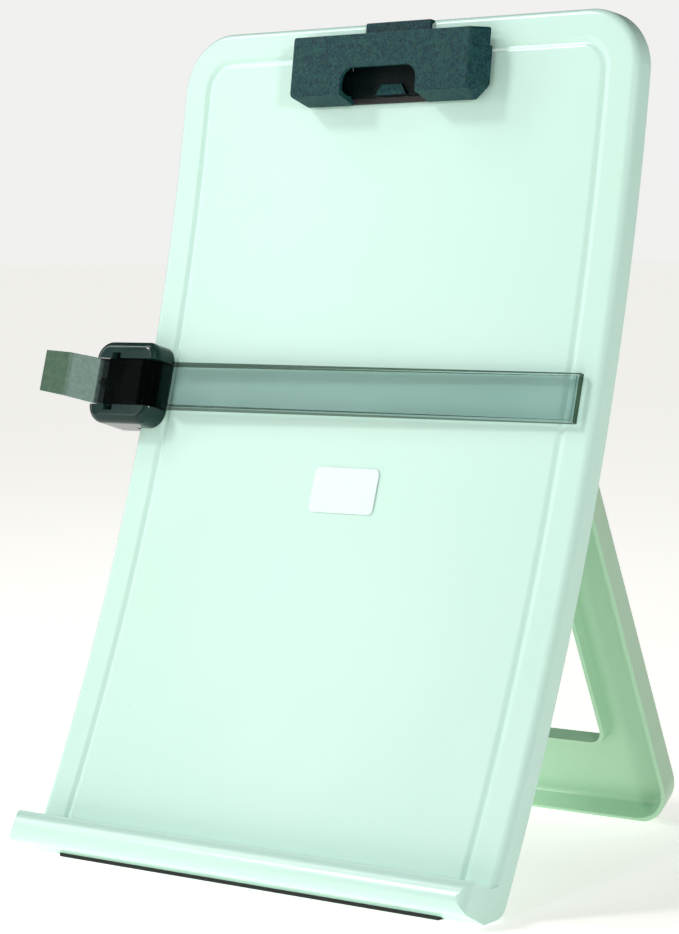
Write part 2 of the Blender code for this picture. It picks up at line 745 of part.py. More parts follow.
def make_clip_jaw(parent, frame):
    jaw = jaw_form("clip_jaw", 0, 2.6 * MM, PARTS)
    bevel(jaw, 1.1 * MM, 3, 25)
    cut(jaw, jaw_form("jaw_hollow", CLIP_WALL, 2.4 * MM, CUTTERS))
    for side in (-1, 1):
        inner = side * 21.5 * MM
        outer = side * 44 * MM
        join(jaw, slab("pad_seat", (min(inner, outer), max(inner, outer)),
                       (2.65 * MM, 5 * MM), (-14.9 * MM, -11.8 * MM), CUTTERS))
        inner = side * 34.2 * MM
        outer = side * 37.5 * MM
        join(jaw, slab("pin_lug", (min(inner, outer), max(inner, outer)),
                       (3.4 * MM, CLIP_FRONT - MM), (CLIP_PIN_Z - 3 * MM, CLIP_PIN_Z + 4 * MM),
                       CUTTERS))
    cut(jaw, slab("top_relief", (-60 * MM, 60 * MM), (-2 * MM, 4.2 * MM),
                  (6 * MM, 20 * MM), CUTTERS))
    cut(jaw, prism("thumb", thumb_outline(), "Y", -20 * MM, 6 * MM, CUTTERS))
    cut(jaw, rod("jaw_pin_hole", CLIP_PIN_RADIUS + GAP, local(-38.5 * MM, CLIP_PIN_N, CLIP_PIN_Z),
                 local(38.5 * MM, CLIP_PIN_N, CLIP_PIN_Z), "X", CUTTERS, 16))
    for side in (-1, 1):
        outline = [(47.1 * MM, 11.5 * MM), (50.8 * MM, 2 * MM), (60 * MM, 2 * MM),
                   (60 * MM, 11.5 * MM)]
        cut(jaw, prism("side_groove", [(side * x, -n) for x, n in outline], "Z",
                       4.6 * MM, 5.4 * MM, CUTTERS))
    finish(jaw, "teal", placing=frame)
    move_origin(jaw, local(0, CLIP_PIN_N, CLIP_PIN_Z))
    jaw.parent = parent
    jaw.matrix_parent_inverse = parent.matrix_world.inverted()
    return jaw


def make_clip_base(frame):
    """Plate on the board's face, hinge ears, screw bosses and a tab over the top edge."""
    top = BOARD_LENGTH - CLIP_S - TAB_NOTCH_DEPTH + GAP
    base = slab("clip_base", (-33.5 * MM, 33.5 * MM), (0.5 * MM, 2.1 * MM),
                (-12.4 * MM, 12.4 * MM), PARTS)
    bevel(base, 0.4 * MM, 1)
    half = TAB_WIDTH / 2
    join(base, slab("tab_front", (-half, half), (0.55 * MM, 2.05 * MM),
                    (8 * MM, top + 0.8 * MM), CUTTERS))
    join(base, slab("tab_top", (-half, half), (-12 * MM, 2 * MM), (top, top + TAB_THICKNESS),
                    CUTTERS))
    join(base, slab("tab_back", (-half, half), (-11.95 * MM, -10.4 * MM),
                    (top - 11 * MM, top + 0.8 * MM), CUTTERS))
    for side in (-1, 1):
        inner = side * 30.2 * MM
        outer = side * 33.4 * MM
        ear = slab("ear", (min(inner, outer), max(inner, outer)), (1 * MM, 8.4 * MM),
                   (CLIP_PIN_Z - 3 * MM, CLIP_PIN_Z + 2.4 * MM), CUTTERS)
        join(base, bevel(ear, 0.8 * MM, 2))
        join(base, rod("boss", 3.4 * MM, local(side * CLIP_SCREW_X, MM, CLIP_SCREW_Z),
                       local(side * CLIP_SCREW_X, -2 * MM, CLIP_SCREW_Z), "Y", CUTTERS, 20))
    tongue = [(-8.2 * MM, -12 * MM), (8.2 * MM, -12 * MM), (5.2 * MM, -7.6 * MM),
              (-5.2 * MM, -7.6 * MM)]
    join(base, prism("tongue", tongue, "Y", -3.4 * MM, -1.5 * MM, CUTTERS))
    cut(base, rod("ear_hole", CLIP_PIN_RADIUS + GAP, local(-34 * MM, CLIP_PIN_N, CLIP_PIN_Z),
                  local(34 * MM, CLIP_PIN_N, CLIP_PIN_Z), "X", CUTTERS, 16))
    for side in (-1, 1):
        cut(base, rod("boss_screw_hole", SCREW_HOLE_RADIUS,
                      local(side * CLIP_SCREW_X, 1 * MM, CLIP_SCREW_Z),
                      local(side * CLIP_SCREW_X, -4 * MM, CLIP_SCREW_Z), "Y", CUTTERS, 12))
    return finish(base, "teal", placing=frame)


def make_clip_pin(frame):
    pin = rod("clip_pin", CLIP_PIN_RADIUS, local(-38 * MM, CLIP_PIN_N, CLIP_PIN_Z),
              local(38 * MM, CLIP_PIN_N, CLIP_PIN_Z), "X", PARTS, 16)
    return finish(pin, "steel", placing=frame)


def wire(name, points, radius, placing, parent=None, finish_name="steel"):
    """A thin wire through the points, as a closed tube."""
    curve = bpy.data.curves.new(name, "CURVE")
    curve.dimensions = "3D"
    curve.bevel_depth = radius
    curve.bevel_resolution = 1
    curve.use_fill_caps = True
    spline = curve.splines.new("POLY")
    spline.points.add(len(points) - 1)
    for point, place in zip(spline.points, points):
        point.co = (*place, 1)
    curve_object = new_object(name + "_path", curve, CUTTERS)
    bpy.context.view_layer.update()
    depsgraph = bpy.context.evaluated_depsgraph_get()
    mesh = bpy.data.meshes.new_from_object(curve_object.evaluated_get(depsgraph))
    bpy.data.objects.remove(curve_object)
    bm = bmesh.new()
    bm.from_mesh(mesh)
    bmesh.ops.remove_doubles(bm, verts=bm.verts, dist=0.000001)
    obj = object_from_bmesh(name, bm, PARTS)
    return finish(obj, finish_name, parent, placing)


def make_clip_spring(side_name, side, frame):
    """Torsion spring round the pin: one arm on the plate, one on the jaw's inside."""
    radius = 2.1 * MM
    turns = 4
    steps = 10
    start_x = 21.5 * MM
    pitch = 1.5 * MM
    points = [local(side * start_x, 2.9 * MM, CLIP_PIN_Z - 9 * MM)]
    for step in range(turns * steps + 1):
        angle = math.pi + 2 * math.pi * step / steps
        x = start_x + pitch * step / steps
        points.append(local(side * x, CLIP_PIN_N + radius * math.cos(angle),
                            CLIP_PIN_Z + radius * math.sin(angle)))
    end_x = start_x + pitch * turns
    points.append(local(side * end_x, 10.2 * MM, CLIP_PIN_Z - 9 * MM))
    return wire("clip_spring_" + side_name, points, 0.4 * MM, frame)


def make_clip_pad(parent, frame):
    """Soft strip along the jaw's lower edge that presses on the paper."""
    pad = slab("clip_pad", (-43.5 * MM, 43.5 * MM), (0.35 * MM, 2.35 * MM),
               (-15.2 * MM, -12.8 * MM), PARTS)
    bevel(pad, 0.4 * MM, 1)
    return finish(pad, "rubber", parent, frame)


def make_clip():
    frame = board_frame(0, CLIP_S, 0)
    axis = pivot_empty("clip_axis", frame @ Matrix.Translation(local(0, CLIP_PIN_N, CLIP_PIN_Z)))
    make_clip_base(frame)
    make_clip_jaw(axis, frame)
    make_clip_pin(frame)
    make_clip_pad(axis, frame)
    for side_name, side in (("left", -1), ("right", 1)):
        make_clip_spring(side_name, side, frame)
        make_screw("clip_screw_" + side_name, 4.6 * MM, -2.75 * MM, 0.6 * MM,
                   side * CLIP_SCREW_X, CLIP_SCREW_Z, frame)


# ---------------------------------------------------------------- slider carriage and guide

def make_slider_body(parent, frame):
    outline = rounded_rectangle(SLIDER_LEFT, SLIDER_RIGHT, -SLIDER_HALF_HEIGHT,
                                SLIDER_HALF_HEIGHT, SLIDER_CORNER, SLIDER_CORNER, 5)
    body = prism("slider_body", outline, "Y", -SLIDER_FRONT, -SLIDER_BACK, PARTS)
    bevel(body, 2.2 * MM, 3, 50)
    inner_x = -BOARD_WIDTH / 2 - 0.7 * MM
    past = 10 * MM
    cut(body, slab("board_slot", (inner_x, SLIDER_RIGHT + past), (SLIDER_BACK - past, 0.35 * MM),
                   (-OVERCUT, OVERCUT), CUTTERS))
    cut(body, slab("channel_left", (SLIDER_LEFT - past, inner_x + 0.01 * MM),
                   (2 * MM, SLIDER_FRONT + past), (CHANNEL_BOTTOM, CHANNEL_TOP), CUTTERS))
    cut(body, slab("channel_right", (inner_x, SLIDER_RIGHT + past),
                   (MM, SLIDER_FRONT + past), (CHANNEL_BOTTOM, CHANNEL_TOP), CUTTERS))
    cut(body, slab("trunnion_slot", (PIVOT_X - 2.5 * MM, PIVOT_X + 2.5 * MM),
                   (PIVOT_N - 2.5 * MM, SLIDER_FRONT + past),
                   (CHANNEL_BOTTOM - 2.5 * MM, CHANNEL_TOP + 2.5 * MM), CUTTERS))
    cut(body, slab("brake_pocket", (inner_x - 2 * MM, inner_x + MM), (-8 * MM, -2 * MM),
                   (-9 * MM, 9 * MM), CUTTERS))
    for side in (-1, 1):
        z = side * SLIDER_SCREW_Z
        cut(body, rod("slider_screw_hole", SCREW_HOLE_RADIUS,
                      local(-133 * MM, SLIDER_BACK - MM, z), local(-133 * MM, -1.5 * MM, z),
                      "Y", CUTTERS, 12))
    return finish(body, "black", parent, frame)


def make_slider_back_plate(parent, frame):
    outline = rounded_rectangle(-141.7 * MM, -108 * MM, -17 * MM, 17 * MM, 6 * MM, 4 * MM)
    plate = prism("slider_back_plate", outline, "Y", 10.8 * MM, 12.8 * MM, PARTS)
    bevel(plate, 0.5 * MM, 1, 50)
    join(plate, slab("hook", (-117.1 * MM, -115.3 * MM), (-11.5 * MM, -6.5 * MM),
                     (-15 * MM, 15 * MM), CUTTERS))
    for side in (-1, 1):
        z = side * SLIDER_SCREW_Z
        cut(plate, rod("plate_hole", SCREW_HOLE_RADIUS, local(-133 * MM, -9 * MM, z),
                       local(-133 * MM, -14 * MM, z), "Y", CUTTERS, 12))
    return finish(plate, "black", parent, frame)


def make_brake_spring(parent, frame):
    """Bowed leaf spring between the carriage and the rim's outer wall."""
    inner_x = -BOARD_WIDTH / 2 - 0.7 * MM
    thickness = 0.25 * MM
    half = 8.4 * MM
    bow = 1.2 * MM
    steps = 8
    outer = []
    inner = []
    for step in range(steps + 1):
        z = -half + 2 * half * step / steps
        x = inner_x - 1.65 * MM + bow * math.cos(math.pi * z / (2 * half))
        outer.append((x, z))
        inner.append((x + thickness, z))
    leaf = prism("slider_brake_spring", outer + inner[::-1], "Y", 3 * MM, 7 * MM, PARTS)
    return finish(leaf, "steel", parent, frame)


def guide_path():
    """Middle line of the guide's sheet as (x, n), from the finger tab to the bar's tip."""
    path = [(-157.8 * MM, 25.6 * MM), (-146.6 * MM, 22 * MM), (-138.6 * MM, 12 * MM)]
    path += arc((-135.6 * MM, ROCKER_N + 3.2 * MM), 3.2 * MM, -140, -90, 3)
    bend_x = -114 * MM
    radius = 6 * MM
    path += arc((bend_x, ROCKER_N - radius), radius, 90, 30, 4)
    foot_x = bend_x + 2 * radius * math.cos(math.radians(30)) + 1 * MM
    path += arc((foot_x, BAR_N + radius), radius, 215, 270, 4)
    path.append((GUIDE_TIP_X, BAR_N))
    return path


def thicken(path, thickness):
    """Closed outline of a sheet that follows a path, mitred at its corners."""
    left = []
    right = []
    for index, point in enumerate(path):
        here = Vector(point)
        before = Vector(path[max(index - 1, 0)])
        after = Vector(path[min(index + 1, len(path) - 1)])
        incoming = (here - before).normalized() if index else (after - here).normalized()
        outgoing = (after - here).normalized() if index < len(path) - 1 else incoming
        mean = (incoming + outgoing).normalized()
        normal = Vector((-mean.y, mean.x))
        offset = normal * thickness / 2 / max(mean.dot(incoming), 0.5)
        left.append(here + offset)
        right.append(here - offset)
    return left + right[::-1]


def guide_rib(name, z_low):
    """Rib along an edge of the bar, tapering towards its tip."""
    root_x = -101 * MM
    base_n = BAR_N - GUIDE_SHEET / 2 + 0.1 * MM
    outline = [(root_x, -base_n), (root_x, -base_n - RIB_ROOT_HEIGHT),
               (GUIDE_TIP_X - 0.1 * MM, -base_n - RIB_TIP_HEIGHT),
               (GUIDE_TIP_X - 0.1 * MM, -base_n)]
    return prism(name, outline, "Z", z_low, z_low + RIB_WIDTH, CUTTERS)


def make_guide(parent, frame):
    outline = [(point.x, -point.y) for point in thicken(guide_path(), GUIDE_SHEET)]
    guide = prism("guide", outline, "Z", -GUIDE_HALF_HEIGHT, GUIDE_HALF_HEIGHT, PARTS)
    join(guide, guide_rib("rib_low", -GUIDE_HALF_HEIGHT + 0.02 * MM),
         guide_rib("rib_high", GUIDE_HALF_HEIGHT - RIB_WIDTH - 0.02 * MM))
    join(guide, slab("tip_rib", (GUIDE_TIP_X - 1.6 * MM, GUIDE_TIP_X - 0.05 * MM),
                     (BAR_N, BAR_N + 2 * MM), (-9.5 * MM, 9.5 * MM), CUTTERS))
    taper = [(-139 * MM, -GUIDE_HALF_HEIGHT), (-139 * MM, -14 * MM), (-165 * MM, -14 * MM),
             (-165 * MM, -TAB_END_HALF_HEIGHT)]
    cut(guide, prism("tab_taper", taper, "Y", -40 * MM, 0, CUTTERS))
    join(guide, rod("trunnion", TRUNNION_RADIUS, local(PIVOT_X, PIVOT_N, CHANNEL_BOTTOM - 2 * MM),
                    local(PIVOT_X, PIVOT_N, CHANNEL_TOP + 2 * MM), "Z", CUTTERS, 20))
    finish(guide, "smoke", placing=frame)
    move_origin(guide, local(PIVOT_X, PIVOT_N, 0))
    guide.parent = parent
    guide.matrix_parent_inverse = parent.matrix_world.inverted()
    return guide


def make_guide_spring(parent, frame):
    """Small coil spring that pushes the finger side forward and the bar to the paper."""
    turns = 5
    steps = 8
    low = 2.8 * MM
    high = 8.9 * MM
    points = []
    for step in range(turns * steps + 1):
        angle = 2 * math.pi * step / steps
        n = low + (high - low) * step / (turns * steps)
        points.append(local(-138 * MM + 1.9 * MM * math.cos(angle), n,
                            1.9 * MM * math.sin(angle)))
    return wire("guide_spring", points, 0.3 * MM, frame, parent)


def make_slider():
    frame = board_frame(0, SLIDER_S, 0)
    arc_axis = pivot_empty("slider_axis", Matrix.Translation((0, ARC_Y, ARC_Z)))
    guide_axis = pivot_empty("guide_axis", frame @ Matrix.Translation(local(PIVOT_X, PIVOT_N, 0)))
    guide_axis.parent = arc_axis
    guide_axis.matrix_parent_inverse = arc_axis.matrix_world.inverted()
    make_slider_body(arc_axis, frame)
    make_slider_back_plate(arc_axis, frame)
    make_brake_spring(arc_axis, frame)
    for name, side in (("lower", -1), ("upper", 1)):
        make_screw("slider_screw_" + name, 2.6 * MM, -13.1 * MM, -2.5 * MM, -133 * MM,
                   side * SLIDER_SCREW_Z, frame, arc_axis)
    make_guide(guide_axis, frame)
    make_guide_spring(arc_axis, frame)


# ---------------------------------------------------------------- assembly

def main():
    make_board()
    make_ledge_strip()
    make_label()
    leg_axis = pivot_empty("leg_axis", leg_frame() @ Matrix.Translation(pin_in_leg()))
    make_leg(leg_axis)
    make_leg_hinge()
    make_clip()
    make_slider()


main()
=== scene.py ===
import json
import math

import bmesh
import bpy
from mathutils import Matrix, Vector

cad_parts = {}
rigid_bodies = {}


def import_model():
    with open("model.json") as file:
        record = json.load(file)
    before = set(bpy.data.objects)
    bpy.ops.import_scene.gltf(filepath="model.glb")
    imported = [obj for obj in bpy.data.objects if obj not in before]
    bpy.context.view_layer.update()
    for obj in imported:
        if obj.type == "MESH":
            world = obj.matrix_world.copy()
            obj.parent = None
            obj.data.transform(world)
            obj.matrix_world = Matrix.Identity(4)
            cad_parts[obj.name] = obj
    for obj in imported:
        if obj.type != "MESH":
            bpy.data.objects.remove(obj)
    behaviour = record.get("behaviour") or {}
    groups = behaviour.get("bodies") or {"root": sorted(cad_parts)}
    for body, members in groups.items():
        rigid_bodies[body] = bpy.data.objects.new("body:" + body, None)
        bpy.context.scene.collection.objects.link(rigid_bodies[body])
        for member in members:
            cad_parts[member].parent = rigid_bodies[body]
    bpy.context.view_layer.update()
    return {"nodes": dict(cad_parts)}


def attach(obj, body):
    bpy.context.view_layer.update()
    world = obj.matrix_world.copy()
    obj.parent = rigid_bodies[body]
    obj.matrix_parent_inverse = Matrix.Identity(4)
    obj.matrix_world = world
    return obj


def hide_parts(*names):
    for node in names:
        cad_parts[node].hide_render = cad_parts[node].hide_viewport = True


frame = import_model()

# A desktop copy holder, in metres, +Z up, with the reader on the -Y side. A point on the curved
# board is (x, s, n): x across, s up the arc from the bottom edge, n out of the face to the reader.
# Bodies are modelled flat and upright, with s on Z and n on -Y, and are then bent or placed.

MM = 0.001
SIDES = (-1, 1)

# ---------------------------------------------------------------- dimensions

BOARD_WIDTH = 240 * MM
BOARD_LENGTH = 364.5 * MM
ARC_RADIUS = 1051.6 * MM
TILT_BOTTOM = math.radians(27.25)
CORNER_RADIUS = 25 * MM
RIM_DEPTH = 10 * MM
WALL = 2.4 * MM
EDGE_ROUND = 3 * MM
GROOVE_SIDE_INSET = 15.2 * MM
GROOVE_TOP_INSET = 13.4 * MM
GROOVE_HALF_WIDTH = 2.4 * MM
GROOVE_DEPTH = 0.9 * MM
BOTTOM_CORNER_HEIGHT = 0.3 * MM
BOTTOM_CORNER_Y = -0.85 * MM
BOTTOM_CHAMFER = 10 * MM
BEND_STEP = 6 * MM
BACK_RIB_X = 88 * MM
BACK_RIB_N = (-7.4 * MM, -1.6 * MM)
BACK_RIB_ROWS = (70 * MM, 135 * MM, 200 * MM, 262 * MM, 316 * MM)
BACK_RIB_HALF = 0.8 * MM

LEDGE_REACH = 17 * MM
LEDGE_HEIGHT = 13.2 * MM
LEDGE_FLOOR = 4 * MM
TROUGH_WIDTH = 12 * MM
LEDGE_CORNER_RADIUS = 5 * MM
LEDGE_BACK = -4 * MM
LEDGE_NOSE_RADIUS = 5.5 * MM
LEDGE_FRONT_RADIUS = 9.4 * MM

STRIP_LENGTH = 200 * MM
STRIP_WIDTH = 6.5 * MM
STRIP_THICKNESS = 1.5 * MM
GAP = 0.3 * MM

LEG_WIDTH = 144 * MM
LEG_BELOW_PIN = 260 * MM
LEG_ABOVE_PIN = 13.6 * MM
LEG_DEPTH = 13 * MM
LEG_DRAFT = 2 * MM
LEG_LEAN = math.radians(23.2)
LEG_FOOT_Y = 201.2 * MM
LEG_FOOT_TRIM = 0.8 * MM
LEG_WALL = 2.2 * MM
LEG_CORNER_RADIUS = 20 * MM
LEG_INNER_ROUND = 1.6 * MM
LEG_BACK_ROUND = 2.35 * MM
LEG_BOSS_RADIUS = 5 * MM
WINDOW_WIDTH = 87 * MM
WINDOW_BOTTOM = 34 * MM
WINDOW_TOP = 192 * MM
WINDOW_CORNER = 9 * MM
FLANGE_WALL = 2 * MM
FLANGE_FRONT = 5 * MM
ROD_RADIUS = 2 * MM
POST_INNER_X = 74.5 * MM
POST_WIDTH = 14 * MM
POST_HEIGHT = 24 * MM
CAP_THICKNESS = 6 * MM
CAP_SCREW_OFFSET = 7.6 * MM
SCREW_HOLE_RADIUS = 1.55 * MM

CLIP_S = 345 * MM
CLIP_FRONT = 13 * MM
CLIP_WALL = 1.8 * MM
CLIP_PIN_Z = 7.6 * MM
CLIP_PIN_N = 6 * MM
CLIP_PIN_RADIUS = 1.1 * MM
THUMB_WIDTH = 40 * MM
TAB_WIDTH = 34 * MM
TAB_NOTCH_DEPTH = 1.8 * MM
TAB_THICKNESS = 1.2 * MM
CLIP_SCREW_X = 24 * MM
CLIP_SCREW_Z = -4 * MM
CLIP_BOSS_RADIUS = 3.4 * MM
BOSS_CLEARANCE = 0.4 * MM

SLIDER_S = 207 * MM
SLIDER_LEFT = -142.2 * MM
SLIDER_RIGHT = -104.8 * MM
SLIDER_HALF_HEIGHT = 18.2 * MM
SLIDER_FRONT = 12 * MM
SLIDER_BACK = -10.4 * MM
SLIDER_CORNER = 8 * MM
SLIDER_ROUND = 3.9 * MM
SLIDER_INNER_X = -BOARD_WIDTH / 2 - 0.7 * MM
CHANNEL_HALF = 10.4 * MM
PIVOT_X = -129 * MM
PIVOT_N = 8 * MM
SLIDER_SCREW_X = -133 * MM
SLIDER_SCREW_Z = 13 * MM

GUIDE_HALF_HEIGHT = 10 * MM
TAB_END_HALF_HEIGHT = 7.4 * MM
GUIDE_SHEET = 1.8 * MM
GUIDE_TIP_X = 112.5 * MM
BAR_N = 2.2 * MM
ROCKER_N = 10.5 * MM
ROCKER_END_X = -114 * MM
TAB_END = (-157.8 * MM, 25.6 * MM)
TAB_BEND = (-146.6 * MM, 22 * MM)
TAB_ROOT = (-138.6 * MM, 12 * MM)
# The span of the guide tinted nearly black over the carriage's channel: painted shade.
ROCKER_PAINTED_SHADE_X = (-137.6 * MM, -109 * MM)
TINT_FADE = 0.3 * MM
TRUNNION_RADIUS = 2.1 * MM
TRUNNION_CLEARANCE = 0.4 * MM
RIB_ROOT_HEIGHT = 6.5 * MM
RIB_TIP_HEIGHT = 2.4 * MM
RIB_WIDTH = 1.2 * MM

LABEL_X = 2.2 * MM
LABEL_S = 165.8 * MM
LABEL_WIDTH = 33.7 * MM
LABEL_HEIGHT = 19.2 * MM

ARC_Y = BOTTOM_CORNER_Y - ARC_RADIUS * math.cos(TILT_BOTTOM)
ARC_Z = BOTTOM_CORNER_HEIGHT + ARC_RADIUS * math.sin(TILT_BOTTOM)
OVERCUT = 30 * MM

# ---------------------------------------------------------------- frames

def tilt_at(s):
    """Backward lean of the board's face at a height s along its arc."""
    return TILT_BOTTOM - s / ARC_RADIUS


def board_point(x, s, n):
    radius = ARC_RADIUS - n
    tilt = tilt_at(s)
    return Vector((x, ARC_Y + radius * math.cos(tilt), ARC_Z - radius * math.sin(tilt)))


def board_frame(x, s, n):
    """Frame on the board's face: X across, -Y out to the reader, Z up along the arc."""
    return Matrix.Translation(board_point(x, s, n)) @ Matrix.Rotation(-tilt_at(s), 4, "X")


def leg_frame():
    """Frame on the leg's foot: Y to the leg's back, Z up along the leaning leg."""
    foot = Vector((0, LEG_FOOT_Y, -LEG_FOOT_TRIM))
    return Matrix.Translation(foot) @ Matrix.Rotation(LEG_LEAN, 4, "X")


def local(x, n, z):
    """A point of a flat body."""
    return Vector((x, -n, z))


def band(centre, half):
    """The range that reaches half to either side of a centre."""
    return centre - half, centre + half


# ---------------------------------------------------------------- modelling

CUTTERS = bpy.data.collections.new("cutters")
bpy.context.scene.collection.children.link(CUTTERS)
PIECES = bpy.data.collections.new("pieces")
bpy.context.scene.collection.children.link(PIECES)


def object_from_bmesh(name, bm, collection=CUTTERS):
    mesh = bpy.data.meshes.new(name)
    bmesh.ops.recalc_face_normals(bm, faces=bm.faces)
    bm.to_mesh(mesh)
    bm.free()
    obj = bpy.data.objects.new(name, mesh)
    collection.objects.link(obj)
    return obj


def slab(name, x_range, n_range, z_range):
    """A box between two places on each axis, given in either order."""
    low = Vector((min(x_range), -max(n_range), min(z_range)))
    high = Vector((max(x_range), -min(n_range), max(z_range)))
    bm = bmesh.new()
    bmesh.ops.create_cube(bm, size=1.0)
    bmesh.ops.scale(bm, vec=high - low, verts=bm.verts)
    bmesh.ops.translate(bm, vec=(low + high) / 2, verts=bm.verts)
    return object_from_bmesh(name, bm)


AXIS_TURN = {
    "X": Matrix.Rotation(math.radians(90), 4, "Y"),
    "Y": Matrix.Rotation(math.radians(-90), 4, "X"),
    "Z": Matrix.Identity(4),
}


def rod(name, radius, start, end, axis, segments=48):
    bm = bmesh.new()
    bmesh.ops.create_cone(bm, cap_ends=True, segments=segments, radius1=radius,
                          radius2=radius, depth=(end - start).length)
    bmesh.ops.transform(bm, matrix=AXIS_TURN[axis], verts=bm.verts)
    bmesh.ops.translate(bm, vec=(start + end) / 2, verts=bm.verts)
    return object_from_bmesh(name, bm)


def rod_along(name, radius, half, n, z, segments=48):
    """A rod along X, as long to the left as to the right."""
    return rod(name, radius, local(-half, n, z), local(half, n, z), "X", segments)


def rod_through(name, radius, x, z, n_range, segments=48):
    """A rod along n, through the thickness of a plate."""
    start, end = n_range
    return rod(name, radius, local(x, start, z), local(x, end, z), "Y", segments)


PRISM_TURN = {
    "X": Matrix(((0, 0, 1, 0), (1, 0, 0, 0), (0, 1, 0, 0), (0, 0, 0, 1))),
    "Y": Matrix(((1, 0, 0, 0), (0, 0, 1, 0), (0, 1, 0, 0), (0, 0, 0, 1))),
    "Z": Matrix.Identity(4),
}


def prism(name, outline, axis, low, high):
    """A flat outline carried along an axis: (y, z) points for X, (x, z) for Y, (x, y) for Z."""
    bm = bmesh.new()
    bottom = [bm.verts.new((a, b, low)) for a, b in outline]
    top = [bm.verts.new((a, b, high)) for a, b in outline]
    count = len(outline)
    for index in range(count):
        after = (index + 1) % count
        bm.faces.new((bottom[index], bottom[after], top[after], top[index]))
    bm.faces.new(bottom)
    bm.faces.new(top)
    bmesh.ops.transform(bm, matrix=PRISM_TURN[axis], verts=bm.verts)
    return object_from_bmesh(name, bm)


def arc(centre, radius, start, end, steps):
    """Points on a circle from one angle to another, in degrees."""
    points = []
    for step in range(steps + 1):
        angle = math.radians(start + (end - start) * step / steps)
        points.append((centre[0] + radius * math.cos(angle), centre[1] + radius * math.sin(angle)))
    return points


def quarter_turn(steps):
    """Angles from 0 to 90 degrees, in radians."""
    return [math.radians(90 * step / steps) for step in range(steps + 1)]


def rounded_rectangle(left, right, bottom, top, bottom_radius, top_radius, steps=12):
    points = []
    points += arc((right - bottom_radius, bottom + bottom_radius), bottom_radius, -90, 0, steps)
    points += arc((right - top_radius, top - top_radius), top_radius, 0, 90, steps)
    points += arc((left + top_radius, top - top_radius), top_radius, 90, 180, steps)
    points += arc((left + bottom_radius, bottom + bottom_radius), bottom_radius, 180, 270, steps)
    return points


def loft(name, rings):
    """A closed body through rings with the same number of points, capped at both ends."""
    bm = bmesh.new()
    loops = [[bm.verts.new(point) for point in ring] for ring in rings]
    for lower, upper in zip(loops, loops[1:]):
        for index in range(len(lower)):
            after = (index + 1) % len(lower)
            bm.faces.new((lower[index], lower[after], upper[after], upper[index]))
    bm.faces.new(loops[0])
    bm.faces.new(loops[-1])
    return object_from_bmesh(name, bm)


def boolean(obj, other, operation):
    modifier = obj.modifiers.new(operation.lower(), "BOOLEAN")
    modifier.operation = operation
    modifier.solver = "EXACT"
    modifier.object = other
    return obj


def cut(obj, *cutters):
    for cutter in cutters:
        boolean(obj, cutter, "DIFFERENCE")
    return obj


def join(obj, *others):
    for other in others:
        boolean(obj, other, "UNION")
    return obj


def bevel(obj, width, segments=3, angle=35):
    modifier = obj.modifiers.new("bevel", "BEVEL")
    modifier.width = width
    modifier.segments = segments
    modifier.limit_method = "ANGLE"
    modifier.angle_limit = math.radians(angle)
    return obj


def bake(obj):
    """Replace the mesh by what its modifiers make of it."""
    bpy.context.view_layer.update()
    depsgraph = bpy.context.evaluated_depsgraph_get()
    mesh = bpy.data.meshes.new_from_object(obj.evaluated_get(depsgraph))
    obj.modifiers.clear()
    obj.data = mesh
    return obj


def clean(obj):
    """Merge vertices that lie together and drop edges without a face."""
    bm = bmesh.new()
    bm.from_mesh(obj.data)
    bmesh.ops.remove_doubles(bm, verts=bm.verts, dist=0.01 * MM)
    loose = [edge for edge in bm.edges if not edge.link_faces]
    bmesh.ops.delete(bm, geom=loose, context="EDGES")
    bm.to_mesh(obj.data)
    bm.free()
    return obj


def bend(obj):
    """Bend an upright flat body round the board's arc, in short strips."""
    bm = bmesh.new()
    bm.from_mesh(obj.data)
    for strip in range(1, int(BOARD_LENGTH / BEND_STEP) + 1):
        everything = bm.verts[:] + bm.edges[:] + bm.faces[:]
        bmesh.ops.bisect_plane(bm, geom=everything, plane_co=(0, 0, strip * BEND_STEP),
                               plane_no=(0, 0, 1), dist=0.01 * MM)
    for vert in bm.verts:
        vert.co = board_point(vert.co.x, vert.co.z, -vert.co.y)
    bm.to_mesh(obj.data)
    bm.free()
    return clean(obj)


def finish(obj, body, material, node, placing=None, sharp=32, weighted=True,
           second_where=None, second_material=None):
    """Place a piece, smooth it, give it its material and tie it to its body and CAD node.

    Faces for which second_where(centre, normal) holds, before placing, get second_material.
    """
    bake(obj)
    second = [bool(second_where and second_where(polygon.center, polygon.normal))
              for polygon in obj.data.polygons]
    if placing is not None:
        obj.data.transform(placing)
    for collection in list(obj.users_collection):
        collection.objects.unlink(obj)
    PIECES.objects.link(obj)
    obj.data.materials.clear()
    obj.data.materials.append(material)
    if second_material:
        obj.data.materials.append(second_material)
    for polygon, is_second in zip(obj.data.polygons, second):
        polygon.material_index = int(is_second)
    obj.data.shade_smooth()
    obj.data.set_sharp_from_angle(angle=math.radians(sharp))
    if weighted:
        modifier = obj.modifiers.new("weighted_normal", "WEIGHTED_NORMAL")
        modifier.keep_sharp = True
        modifier.weight = 80
    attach(obj, body)
    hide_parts(node)
    return obj


# ---------------------------------------------------------------- materials

